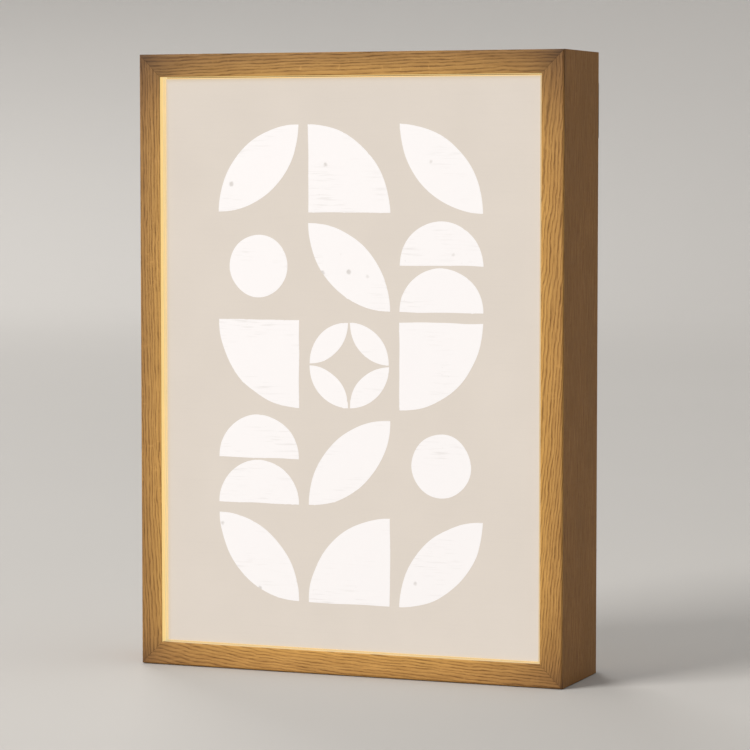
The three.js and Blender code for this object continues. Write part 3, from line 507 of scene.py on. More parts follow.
# ---- shapes ---------------------------------------------------------------------------------------
def link(name, mesh, materials):
    """A piece from a mesh drawn in millimetres in the row frame."""
    mesh.transform(Matrix.Diagonal((0.001, 0.001, 0.001, 1.0)))
    if len(mesh.materials):
        mesh.materials.clear()
    for mt in materials:
        mesh.materials.append(mt)
    o = bpy.data.objects.new(name, mesh)
    SCENE.collection.objects.link(o)
    return o


def from_bmesh(name, bm, materials):
    mesh = bpy.data.meshes.new(name)
    bm.normal_update()
    bm.to_mesh(mesh)
    bm.free()
    return link(name, mesh, materials)


def smooth(o, angle=38.0):
    """Smooth shading with true corners, weighted so that flat faces stay flat beside small rounds."""
    o.data.shade_smooth()
    o.data.set_sharp_from_angle(angle=math.radians(angle))
    w = o.modifiers.new("weighted", "WEIGHTED_NORMAL")
    w.keep_sharp = True
    return o


def bevel(o, width_mm, segments=3, angle=32.0):
    b = o.modifiers.new("edges", "BEVEL")
    b.width, b.segments, b.limit_method = width_mm * 0.001, segments, "ANGLE"
    b.angle_limit = math.radians(angle)
    b.harden_normals = False
    return o


def baked(o):
    """The piece with its modifiers applied, as a plain mesh."""
    dg = bpy.context.evaluated_depsgraph_get()
    mesh = bpy.data.meshes.new_from_object(o.evaluated_get(dg))
    old = o.data
    o.modifiers.clear()
    o.data = mesh
    bpy.data.meshes.remove(old)
    return o


def carve(o, cutters):
    """Cuts the cutters, which are objects drawn for it, out of the piece."""
    for c in cutters:
        b = o.modifiers.new("cut", "BOOLEAN")
        b.operation, b.solver, b.object = "DIFFERENCE", "EXACT", c
    bpy.context.view_layer.update()
    baked(o)
    for c in cutters:
        bpy.data.objects.remove(c)
    return o


def arc(cx, cy, r, a0, a1, n):
    return [(cx + r * math.cos(math.radians(a0 + (a1 - a0) * i / n)), cy + r * math.sin(math.radians(a0 + (a1 - a0) * i / n)))
            for i in range(n + 1)]


def circle(cx, cy, r, n=32):
    return arc(cx, cy, r, 0, 360, n)[:-1]


def round_rect(x0, x1, y0, y1, r, n=8):
    return [*arc(x1 - r, y1 - r, r, 0, 90, n), *arc(x0 + r, y1 - r, r, 90, 180, n),
            *arc(x0 + r, y0 + r, r, 180, 270, n), *arc(x1 - r, y0 + r, r, 270, 360, n)]


# local X, Y of an outline to world X, Z, its thickness centred on the given Y; or to world Y, Z about a given X
def xz_at(y):
    return Matrix(((1, 0, 0, 0), (0, 0, -1, y), (0, 1, 0, 0), (0, 0, 0, 1)))


def yz_at(x):
    return Matrix(((0, 0, 1, x), (1, 0, 0, 0), (0, 1, 0, 0), (0, 0, 0, 1)))


def plate(name, loops, thickness, round_mm, place, materials, steps=3):
    """A flat piece with rounded rims: outline and holes as loops of points."""
    cu = bpy.data.curves.new(name + "_outline", "CURVE")
    cu.dimensions, cu.fill_mode = "2D", "BOTH"
    for pts in loops:
        s = cu.splines.new("POLY")
        s.points.add(len(pts) - 1)
        for i, (px, py) in enumerate(pts):
            s.points[i].co = (px, py, 0.0, 1.0)
        s.use_cyclic_u = True
    cu.extrude = thickness / 2 - round_mm
    cu.bevel_depth, cu.bevel_resolution, cu.offset = round_mm, steps, -round_mm
    tmp = bpy.data.objects.new(name + "_outline", cu)
    SCENE.collection.objects.link(tmp)
    bpy.context.view_layer.update()
    mesh = bpy.data.meshes.new_from_object(tmp.evaluated_get(bpy.context.evaluated_depsgraph_get()))
    bpy.data.objects.remove(tmp)
    bpy.data.curves.remove(cu)
    bm = bmesh.new()
    bm.from_mesh(mesh)
    bpy.data.meshes.remove(mesh)
    bmesh.ops.remove_doubles(bm, verts=bm.verts, dist=1e-4)
    bmesh.ops.transform(bm, matrix=place, verts=bm.verts)
    bmesh.ops.recalc_face_normals(bm, faces=bm.faces)
    return from_bmesh(name, bm, materials)


def lathe_bm(profile, n=48, closed=False):
    """Turned about local Z: profile of (radius, height) from axis to axis, or a closed ring of them."""
    bm = bmesh.new()
    rings = []
    for r, h in profile:
        if r < 1e-6:
            rings.append([bm.verts.new((0, 0, h))])
        else:
            rings.append([bm.verts.new((r * math.cos(2 * math.pi * i / n), r * math.sin(2 * math.pi * i / n), h)) for i in range(n)])
    pairs = list(zip(rings, rings[1:])) + ([(rings[-1], rings[0])] if closed else [])
    for a, b in pairs:
        for i in range(n):
            j = (i + 1) % n
            quad = [a[0] if len(a) == 1 else a[i], a[0] if len(a) == 1 else a[j], b[0] if len(b) == 1 else b[j], b[0] if len(b) == 1 else b[i]]
            quad = [v for k, v in enumerate(quad) if v not in quad[:k]]
            if len(quad) > 2:
                bm.faces.new(quad)
    bmesh.ops.recalc_face_normals(bm, faces=bm.faces)
    return bm


# local Z to world +Y
TO_Y = Matrix(((1, 0, 0, 0), (0, 0, 1, 0), (0, -1, 0, 0), (0, 0, 0, 1)))


def lathe(name, profile, place, materials, n=48, closed=False):
    bm = lathe_bm(profile, n, closed)
    bmesh.ops.transform(bm, matrix=place, verts=bm.verts)
    bmesh.ops.recalc_face_normals(bm, faces=bm.faces)
    return from_bmesh(name, bm, materials)


def rounded(points, r, n=5):
    """A profile whose inner corners are rounded by r, as far as its legs allow."""
    out = [points[0]]
    for p, c, q in zip(points, points[1:], points[2:]):
        p, c, q = Vector(p), Vector(c), Vector(q)
        a, b = (p - c), (q - c)
        k = min(r, a.length * 0.45, b.length * 0.45)
        s, e = c + a.normalized() * k, c + b.normalized() * k
        for i in range(n + 1):
            t = i / n
            out.append(tuple((1 - t) ** 2 * s + 2 * t * (1 - t) * c + t * t * e))
    out.append(points[-1])
    return out


def block(name, x0, x1, y0, y1, z0, z1, materials, place=None):
    bm = bmesh.new()
    bmesh.ops.create_cube(bm, size=1.0)
    bmesh.ops.scale(bm, vec=(x1 - x0, y1 - y0, z1 - z0), verts=bm.verts)
    bmesh.ops.translate(bm, vec=((x0 + x1) / 2, (y0 + y1) / 2, (z0 + z1) / 2), verts=bm.verts)
    if place is not None:
        bmesh.ops.transform(bm, matrix=place, verts=bm.verts)
    return from_bmesh(name, bm, materials)


def merge(name, parts, materials_kept=True):
    """Several pieces as one mesh with their materials kept."""
    dg = bpy.context.evaluated_depsgraph_get()
    bpy.context.view_layer.update()
    bm = bmesh.new()
    mats = []
    for p in parts:
        mesh = bpy.data.meshes.new_from_object(p.evaluated_get(bpy.context.evaluated_depsgraph_get()))
        start = len(bm.faces)
        bm.from_mesh(mesh)
        bm.faces.ensure_lookup_table()
        for f in bm.faces[start:]:
            mt = mesh.materials[f.material_index]
            if mt not in mats:
                mats.append(mt)
            f.material_index = mats.index(mt)
        bpy.data.meshes.remove(mesh)
        bpy.data.objects.remove(p)
    mesh = bpy.data.meshes.new(name)
    bm.to_mesh(mesh)
    bm.free()
    for mt in mats:
        mesh.materials.append(mt)
    o = bpy.data.objects.new(name, mesh)
    SCENE.collection.objects.link(o)
    return o


def settle(o, body, slot, *nodes):
    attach(o, body)
    if nodes:
        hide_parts(*nodes)
    return o


# ---- oak boards -----------------------------------------------------------------------------------
ARRIS_OUT, ARRIS_IN = 1.6, 0.7
LIP = 12.5                     # how deep the lit lip of a board's inner face goes


def board_loop(inset=0.0):
    """Cross-section of a board, (u, v): u from the outer face inwards, v from the front face backwards. Each point carries
    True where the face that starts at it belongs to the lip."""
    i = inset
    pts = []

    def curve(cu, cv, r, a0, a1, n, lip=False):
        rr = max(r - i, 0.05)
        for k, p in enumerate(arc(cu, cv, rr, a0, a1, n)):
            pts.append((p[0], p[1], lip))

    curve(ARRIS_OUT, ARRIS_OUT, ARRIS_OUT, 180, 270, 8)
    pts.append((ARRIS_OUT + 0.5, i, False))
    pts.append((FACE - ARRIS_IN - 0.3, i, False))
    curve(FACE - ARRIS_IN, ARRIS_IN, ARRIS_IN, 270, 360, 6, True)
    pts.append((FACE - i, ARRIS_IN + 0.3, True))
    pts.append((FACE - i, LIP, False))
    pts.append((FACE - i, OAK_D - ARRIS_IN - 0.3, False))
    curve(FACE - ARRIS_IN, OAK_D - ARRIS_IN, ARRIS_IN, 0, 90, 5)
    pts.append((FACE - ARRIS_IN - 0.3, OAK_D - i, False))
    pts.append((ARRIS_IN + 0.3, OAK_D - i, False))
    curve(ARRIS_IN, OAK_D - ARRIS_IN, ARRIS_IN, 90, 180, 5)
    pts.append((i, OAK_D - ARRIS_IN - 0.3, False))
    pts.append((i, ARRIS_OUT + 0.5, False))
    return pts


def make_board(name, half_across, half_length, turn):
    """A mitred board. The mitre's own edges are eased by a hair, so that the joint shows as a fine line."""
    ease = 0.10
    stations = [(-1, 0.0, ease), (-1, ease * 1.3, 0.0)]
    n = 22
    stations += [(-1 + 2 * k / n, None, 0.0) for k in range(1, n)]
    stations += [(1, ease * 1.3, 0.0), (1, 0.0, ease)]
    bm = bmesh.new()
    rings = []
    for t, back, inset in stations:
        ring = []
        for u, v, _ in board_loop(inset):
            reach = half_length - u - MITRE_GAP / 2 * math.sqrt(2)
            w = t * (reach - 2.0) if back is None else t * (reach - back)
            ring.append(bm.verts.new((-half_across + u, Y0 + v, w)))
        rings.append(ring)
    lip = [p[2] for p in board_loop()]
    for a, b in zip(rings, rings[1:]):
        for i in range(len(a)):
            j = (i + 1) % len(a)
            f = bm.faces.new((a[i], a[j], b[j], b[i]))
            f.material_index = 1 if lip[i] else 0
    bm.faces.new(rings[0])
    bm.faces.new(rings[-1])
    bmesh.ops.transform(bm, matrix=Matrix.Translation((0, 0, ZC)) @ Matrix.Rotation(turn, 4, "Y"), verts=bm.verts)
    bmesh.ops.recalc_face_normals(bm, faces=bm.faces)
    return from_bmesh(name, bm, OAKS[name])


def pocket(x0, x1, y0, y1, z0, z1, r, axis):
    """A cutter with the round corners that a router leaves, sunk along Y or X."""
    if axis == "Y":
        return plate("cutter", [round_rect(x0, x1, z0, z1, r)], y1 - y0, 0.02, xz_at((y0 + y1) / 2), [OAKS["rail_left"][0]], 0)
    return plate("cutter", [round_rect(y0, y1, z0, z1, r)], x1 - x0, 0.02, yz_at((x0 + x1) / 2), [OAKS["rail_left"][0]], 0)


def hanger_pocket(s):
    x = s * RAIL_MID
    return pocket(x - 5.2, x + 5.2, YB - 8, YB + 1, PLATE_Z - 10.4, PLATE_Z + 10.6, 4.0, "Y")


left = make_board("rail_left", W / 2, H / 2, 0.0)
right = make_board("rail_right", W / 2, H / 2, math.pi)
top = make_board("rail_top", H / 2, W / 2, math.pi / 2)
bottom = make_board("rail_bottom", H / 2, W / 2, -math.pi / 2)
carve(left, [
    hanger_pocket(-1),
    pocket(-W / 2 - 1, -W / 2 + 5.5, SWITCH.y - 8.2, SWITCH.y + 8.2, SWITCH.z - 11.2, SWITCH.z + 11.2, 1.2, "X"),
    pocket(-W / 2 + 1, -XI - 1, SWITCH.y - 6.8, SWITCH.y + 6.8, SWITCH.z - 9.8, SWITCH.z + 9.8, 1.0, "X"),
])
carve(right, [hanger_pocket(1)])
for name, o in (("rail_left", left), ("rail_right", right), ("rail_top", top), ("rail_bottom", bottom)):
    o.name = name + "_board"
    smooth(o, 50)
    settle(o, CASE, "oak", name)

# ---- print panel and its print --------------------------------------------------------------------
px, pz0, pz1 = XI - PANEL_GAP, ZI0 + PANEL_GAP_Z, ZI1 - PANEL_GAP_Z
panel = plate("print_panel_sheet", [round_rect(-px, px, pz0, pz1, 0.8, 5)], PANEL_T, 0.25, xz_at(PANEL_Y + PANEL_T / 2), [GROUND, EDGE])
for f in panel.data.polygons:
    f.material_index = 0 if f.normal.y < -0.9 else 1
smooth(panel, 30)
settle(panel, CASE, "print", "print_panel")

TILE, STEP = 64.0, 71.5


def leaf(cx, cz, flip, s=TILE):
    h = s / 2
    k = -1 if flip else 1
    # two quarter circles of radius s between opposite corners of the tile
    pts = [(cx + k * p, cz + q) for p, q in arc(h, -h, s, 180, 90, 60)] + [(cx + k * p, cz + q) for p, q in arc(-h, h, s, 0, -90, 60)]
    return pts


def quarter(cx, cz, sx, sz, s=TILE):
    h = s / 2
    return [(cx + sx * p, cz + sz * q) for p, q in [(-h, -h), *arc(-h, -h, s, 0, 90, 90)]]


def dome(cx, cz, s=TILE):
    return [(cx + p, cz + q) for p, q in arc(0, 0, s / 2, 0, 180, 70)]


def worn(pts, seed, step=0.9, wander=0.62, nick=0.48):
    """An outline cut as from a wooden block: edges that are a little off straight, with small nicks."""
    dense = []
    for (x0, z0), (x1, z1) in zip(pts, pts[1:] + pts[:1]):
        d = math.hypot(x1 - x0, z1 - z0)
        if d < 1e-6:
            continue
        for i in range(max(1, int(d / step))):
            t = i / max(1, int(d / step))
            dense.append((x0 + (x1 - x0) * t, z0 + (z1 - z0) * t))
    out = []
    for x, z in dense:
        a = noise.noise(Vector((x * 0.045, z * 0.045, seed))) * wander
        b = noise.noise(Vector((z * 0.045, x * 0.045, seed + 9))) * wander
        c = max(0.0, noise.noise(Vector((x * 0.35, z * 0.35, seed + 5))) - 0.30) * nick * 2
        out.append((x + a - c * 0.7, z + b - c * 0.7))
    return out


loops = []
LAYOUT = ["leaf quarter_sw leaf_r", "dot leaf_r domes", "quarter_ne flower quarter_nw", "domes leaf dot", "leaf_r quarter_se leaf"]
for r, row in enumerate(LAYOUT):
    for c, kind in enumerate(row.split()):
        cx, cz = (c - 1) * STEP, ZC + (2 - r) * STEP
        seed = 3.0 * r + 11.0 * c
        if kind.startswith("leaf"):
            shapes = [leaf(cx, cz, kind.endswith("_r"))]
        elif kind.startswith("quarter"):
            sx, sz = {"sw": (1, 1), "se": (-1, 1), "nw": (1, -1), "ne": (-1, -1)}[kind[-2:]]
            shapes = [quarter(cx, cz, sx, sz)]
        elif kind == "dot":
            shapes = [circle(cx, cz, TILE * 0.36, 96)]
        elif kind == "domes":
            shapes = [dome(cx, cz + 1.6, TILE), dome(cx, cz - TILE / 2, TILE)]
        else:
            q = TILE / 4
            shapes = [leaf(cx + i * q, cz + j * q, i * j > 0, TILE / 2 - 1.5) for i in (-1, 1) for j in (-1, 1)]
        loops += [worn(s, seed + k) for k, s in enumerate(shapes)]
ink = plate("print_shapes", loops, 0.10, 0.001, xz_at(PANEL_Y - 0.045), [WHITE], 0)
settle(ink, CASE, "print")

# ---- back panel -----------------------------------------------------------------------------------
bx, bz0, bz1 = XI - 0.7, ZI0 + 0.7, ZI1 - 0.7
vents = [[*arc(x, z + 11, 1.6, 0, 180, 10), *arc(x, z - 11, 1.6, 180, 360, 10)] for z in (98, 366) for x in (-42, -28, -14, 14, 28, 42)]
back = plate("back_panel_sheet", [round_rect(-bx, bx, bz0, bz1, 1.5), *vents, circle(JACK.x, JACK.z, 5.9, 40), circle(0, 402, 1.9, 24)],
             BACK_T, 0.22, xz_at(BACK_Y1 - BACK_T / 2), [BOARD_WHITE], 2)
smooth(back, 45)
settle(back, CASE, "hardboard", "back_panel")


# ---- screws ---------------------------------------------------------------------------------------
def thread(r, top_z, end_z, pitch=1.1):
    pts, z = [], top_z
    while z > end_z + 3.4:
        pts += [(r * 0.80, z), (r, z - pitch * 0.45), (r * 0.80, z - pitch * 0.9)]
        z -= pitch
    pts += [(r * 0.55, end_z + 1.4), (r * 0.2, end_z + 0.3), (0.0, end_z)]
    return pts


def cross_cutter(reach, half, deep, top_z):
    """A cross that narrows as it goes in."""
    def ring(k, z):
        a, b = reach * k, half * (0.75 + 0.25 * k)
        return [(x, y, z) for x, y in [(a, -b), (a, b), (b, b), (b, a), (-b, a), (-b, b), (-a, b), (-a, -b), (-b, -b), (-b, -a), (b, -a), (b, -b)]]
    bm = bmesh.new()
    low = [bm.verts.new(p) for p in ring(0.45, top_z - deep)]
    mid = [bm.verts.new(p) for p in ring(1.0, top_z)]
    high = [bm.verts.new(p) for p in ring(1.0, top_z + 1.5)]
    for a, b in ((low, mid), (mid, high)):
        for i in range(12):
            bm.faces.new((a[i], a[(i + 1) % 12], b[(i + 1) % 12], b[i]))
    bm.faces.new(low)
    bm.faces.new(high)
    bmesh.ops.recalc_face_normals(bm, faces=bm.faces)
    return bm


def screw(name, at, head, shank, spin=0.0):
    """A cross-recess screw on +Y: pan head, or flat head whose top is its datum."""
    place = Matrix.Translation(at) @ TO_Y @ Matrix.Rotation(math.radians(spin), 4, "Z")
    if head == "pan":
        profile = [(0, 1.9), (0.9, 1.88), (1.7, 1.74), (2.3, 1.44), (2.72, 1.02), (2.94, 0.55), (3.0, 0.22), (2.96, 0.06), (2.84, 0.0), (1.5, 0.0)]
        cut = cross_cutter(1.65, 0.42, 1.15, 1.9)
    else:
        profile = [(0, 0), (2.66, 0.0), (2.78, -0.05), (2.8, -0.15), (2.76, -0.24), (1.5, -1.45)]
        cut = cross_cutter(1.55, 0.40, 1.0, 0.0)
    o = lathe(name, profile + thread(1.5, profile[-1][1] - 0.6, -shank), place, [BRIGHT], 28)
    bmesh.ops.transform(cut, matrix=place, verts=cut.verts)
    carve(o, [from_bmesh("cutter", cut, [BRIGHT])])
    return smooth(o, 32)


SPIN = random.Random(7)
for s, side in ((-1, "left"), (1, "right")):
    for end, z in zip(("bottom", "top"), BUTTON_Z):
        tag = f"{side}_{end}"
        o = screw(f"button_screw_{tag}", (s * RAIL_MID, YB + 2 * TOUCH + 1.5, z), "pan", 13, SPIN.uniform(0, 90))
        settle(o, CASE, "zinc_steel", f"turn_button_screw_{tag}")
    for end, dz in (("bottom", -17), ("top", 17)):
        o = screw(f"plate_screw_{side}_{end}", (s * RAIL_MID, YB + TOUCH + PLATE_T - 0.1, PLATE_Z + dz), "flat", 13, SPIN.uniform(0, 90))
        settle(o, CASE, "zinc_steel", f"hanger_screw_{side}_{end}")

# ---- turn buttons ---------------------------------------------------------------------------------
for s, side in ((-1, "left"), (1, "right")):
    for end, z in zip(("bottom", "top"), BUTTON_Z):
        tag = f"{side}_{end}"
        k = -s                       # the nose points to the middle of the back
        outline = [(p * k, q) for p, q in [*arc(0, 0, 4.6, -90 - 4, -270 + 4, 20), *arc(16.5, 0, 3.6, 90 - 4, -90 + 4, 18)]]
        hole = circle(0, 0, 1.8, 24)
        o = plate(f"button_{tag}_plate", [[(p + s * RAIL_MID, q + z) for p, q in outline], [(p + s * RAIL_MID, q + z) for p, q in hole]],
                  1.5, 0.32, xz_at(YB + TOUCH + 0.75), [ZINC], 3)
        smooth(o, 34)
        settle(o, f"button_{tag}", "zinc_steel", f"turn_button_{tag}")

# ---- keyhole plates -------------------------------------------------------------------------------
keyhole = [*arc(0, -5, 4.6, 121.45, 418.55, 40), *arc(0, 6, 2.4, 0, 180, 16)]
for s, side in ((-1, "left"), (1, "right")):
    shift = lambda pts: [(p + s * RAIL_MID, q + PLATE_Z) for p, q in pts]
    o = plate(f"keyhole_plate_{side}_steel", [shift(round_rect(-8, 8, -22, 22, 3)), shift(keyhole)], PLATE_T, 0.25,
              xz_at(YB + TOUCH + PLATE_T / 2), [STEEL], 3)
    sinks = []
    for dz in (-17, 17):
        bm = lathe_bm([(0, -1.2), (1.8, -1.2), (1.8, 0.45), (3.1, 1.75), (3.1, 3.0), (0, 3.0)], 32)
        bmesh.ops.transform(bm, matrix=Matrix.Translation((s * RAIL_MID, YB + TOUCH, PLATE_Z + dz)) @ TO_Y, verts=bm.verts)
        sinks.append(from_bmesh("cutter", bm, [STEEL]))
    carve(o, sinks)
    smooth(o, 34)
    settle(o, CASE, "hanger_steel", f"keyhole_plate_{side}")

# ---- wall bumpers ---------------------------------------------------------------------------------
for name, (sx, sz) in {"top_left": (-1, 1), "top_right": (1, 1), "bottom_left": (-1, -1), "bottom_right": (1, -1)}.items():
    h = STANDOFF - TOUCH
    profile = rounded([(0, 0), (6.6, 0), (6.6, 1.2), (5.2, h - 1), (4.4, h), (2.4, h), (2.0, h - 0.7), (0, h - 0.7)], 0.7, 5)
    o = lathe(f"bumper_{name}", profile, Matrix.Translation((sx * BUMPER_X, YB + TOUCH, ZC + sz * (H / 2 - FACE / 2))) @ TO_Y, [RUBBER], 56)
    smooth(o, 50)
    settle(o, CASE, "rubber", f"wall_bumper_{name}")


# ---- halo strip -----------------------------------------------------------------------------------
def halo():
    y0, a, t = BACK_Y1 + TOUCH, 4.0, 4.0
    section = [(-a, 0.0), (-a, 1.2), (-a + 0.12, 1.9), (-a + 0.5, 2.6), (-a + 1.2, 3.3), (-a + 2.2, 3.8), (-0.9, 3.98), (0.9, 3.98),
               (a - 2.2, 3.8), (a - 1.2, 3.3), (a - 0.5, 2.6), (a - 0.12, 1.9), (a, 1.2), (a, 0.0), (a - 0.25, -0.0), (-a + 0.25, -0.0)]
    x1, z0, z1, rad = 124.0, 40.0, 414.0, 16.0
    path = [(1.5, z1, 0, 1), (2.0, z1, 0, 1)]
    def straight(p, q, nx, nz, n):
        for i in range(1, n):
            path.append((p[0] + (q[0] - p[0]) * i / n, p[1] + (q[1] - p[1]) * i / n, nx, nz))
    def bend(cx, cz, a0, a1, n=14):
        for i in range(n + 1):
            g = math.radians(a0 + (a1 - a0) * i / n)
            path.append((cx + rad * math.cos(g), cz + rad * math.sin(g), math.cos(g), math.sin(g)))
    straight((2.0, z1), (x1 - rad, z1), 0, 1, 12)
    bend(x1 - rad, z1 - rad, 90, 0)
    straight((x1, z1 - rad), (x1, z0 + rad), 1, 0, 30)
    bend(x1 - rad, z0 + rad, 0, -90)
    straight((x1 - rad, z0), (-x1 + rad, z0), 0, -1, 22)
    bend(-x1 + rad, z0 + rad, -90, -180)
    straight((-x1, z0 + rad), (-x1, z1 - rad), -1, 0, 30)
    bend(-x1 + rad, z1 - rad, -180, -270)
    straight((-x1 + rad, z1), (-2.0, z1), 0, 1, 12)
    path += [(-2.0, z1, 0, 1), (-1.5, z1, 0, 1)]
    bm = bmesh.new()
    rings = []
    for k, (x, z, nx, nz) in enumerate(path):
        inset = 0.35 if k in (0, len(path) - 1) else 0.0
        # a hair of unevenness, as a soft sleeve that was pressed down by hand
        wob = 0.10 * noise.noise(Vector((x * 0.02, z * 0.02, 4.0))) if 2 < k < len(path) - 3 else 0.0
        rings.append([bm.verts.new((x + nx * (u * (1 - inset / 4) + wob), y0 + inset * 0.4 + v * (1 - inset / 3), z + nz * (u * (1 - inset / 4) + wob)))
                      for u, v in section])
    for a_, b_ in zip(rings, rings[1:]):
        for i in range(len(section)):
            j = (i + 1) % len(section)
            bm.faces.new((a_[i], a_[j], b_[j], b_[i]))
    bm.faces.new(rings[0])
    bm.faces.new(rings[-1])
    bmesh.ops.recalc_face_normals(bm, faces=bm.faces)
    return from_bmesh("halo_strip_sleeve", bm, [SILICONE])


settle(smooth(halo(), 50), CASE, "silicone", "halo_strip")


# ---- lead to the halo strip -----------------------------------------------------------------------
def spline(points, per=10):
    pts = [Vector(p) for p in points]
    pts = [pts[0] * 2 - pts[1], *pts, pts[-1] * 2 - pts[-2]]
    out = []
    for p0, p1, p2, p3 in zip(pts, pts[1:], pts[2:], pts[3:]):
        for i in range(per):
            t = i / per
            out.append(0.5 * ((2 * p1) + (p2 - p0) * t + (2 * p0 - 5 * p1 + 4 * p2 - p3) * t * t + (3 * p1 - p0 - 3 * p2 + p3) * t ** 3))
    out.append(pts[-2])
    return out


def lead(name, points, r, n=14):
    path = spline(points)
    bm = bmesh.new()
    rings, side = [], Vector((1, 0, 0))
    for k, p in enumerate(path):
        d = (path[min(k + 1, len(path) - 1)] - path[max(k - 1, 0)]).normalized()
        side = (side - d * side.dot(d)).normalized()
        up = d.cross(side)
        rings.append([bm.verts.new(p + (side * math.cos(2 * math.pi * i / n) + up * math.sin(2 * math.pi * i / n)) * r) for i in range(n)])
    for a_, b_ in zip(rings, rings[1:]):
        for i in range(n):
            bm.faces.new((a_[i], a_[(i + 1) % n], b_[(i + 1) % n], b_[i]))
    bm.faces.new(rings[0])
    bm.faces.new(rings[-1])
    bmesh.ops.recalc_face_normals(bm, faces=bm.faces)
    return smooth(from_bmesh(name, bm, [LEAD]), 50)


settle(lead("lead_halo_sleeve", [(0, 8, 245.4), (0, 8, 262), (4, 7, 320), (2, 10, 384), (0, 17, 400), (0, 24, 402), (0, 34, 402),
                                 (0, 36.2, 403.4), (0, 36.4, 409.4)], 1.3), CASE, "lead_sleeve", "lead_halo")

# ---- power inlet ----------------------------------------------------------------------------------
yb = BACK_Y1 + TOUCH
shell = rounded([(3.0, 26.0), (3.0, 35.7), (6.6, 35.7), (7.4, 35.0), (7.4, yb), (5.5, yb), (5.5, 18.5), (4.4, 18.2), (4.4, 14.0),
                 (1.6, 14.0), (1.6, 11.0), (0.0, 11.0)], 0.28, 4)
# fine screw thread on the barrel behind the flange
barrel = []
for r, h in shell:
    barrel.append((r, h))
    if abs(r - 5.5) < 1e-6 and h > 30:
        z_ = h - 0.6
        while z_ > 19.6:
            barrel += [(5.5, z_), (5.22, z_ - 0.3), (5.5, z_ - 0.6)]
            z_ -= 0.8
jack_shell = lathe("jack_shell", [(0.0, 26.0)] + barrel, Matrix.Translation((JACK.x, 0, JACK.z)) @ TO_Y, [BLACK], 56)
jack_pin = lathe("jack_pin", rounded([(0.0, 35.2), (1.05, 34.9), (1.05, 26.0), (0.0, 26.0)], 0.3, 4), Matrix.Translation((JACK.x, 0, JACK.z)) @ TO_Y, [ZINC], 32)
jack_lining = lathe("jack_lining", [(2.98, 26.2), (2.98, 34.6), (2.72, 34.6), (2.72, 26.2)], Matrix.Translation((JACK.x, 0, JACK.z)) @ TO_Y, [ZINC], 48, True)
settle(smooth(merge("dc_jack_body", [jack_shell, jack_pin, jack_lining]), 40), CASE, "black_plastic", "dc_jack")

# ---- rocker switch in the left board --------------------------------------------------------------
sx, sy, sz = SWITCH
offset = lambda pts: [(p + sy, q + sz) for p, q in pts]
bezel = plate("bezel", [offset(round_rect(-7.5, 7.5, -10.5, 10.5, 1.3)), offset(round_rect(-5.6, 5.6, -8.9, 8.9, 0.6, 5))], 1.9, 0.45,
              yz_at(sx - 4 + 0.95), [BLACK], 4)
well = plate("well", [offset(round_rect(-6.4, 6.4, -9.4, 9.4, 0.8, 5)), offset(round_rect(-5.6, 5.6, -8.9, 8.9, 0.6, 5))], 9.0, 0.1,
             yz_at(sx + 2.0), [BLACK], 1)
floor_ = plate("well_floor", [offset(round_rect(-6.4, 6.4, -9.4, 9.4, 0.8, 5))], 5.5, 0.3, yz_at(sx + 9.25), [BLACK], 2)
blades = [plate(f"blade{i}", [offset([(-0.4, c - 2.2), (0.4, c - 2.2), (0.4, c + 2.2), (-0.4, c + 2.2)])], 7.8, 0.08, yz_at(sx + 15.8), [TERMINAL], 1)
          for i, c in enumerate((-4.4, 4.4))]
settle(smooth(merge("switch_frame", [bezel, well, floor_, *blades]), 40), CASE, "black_plastic", "switch_housing")


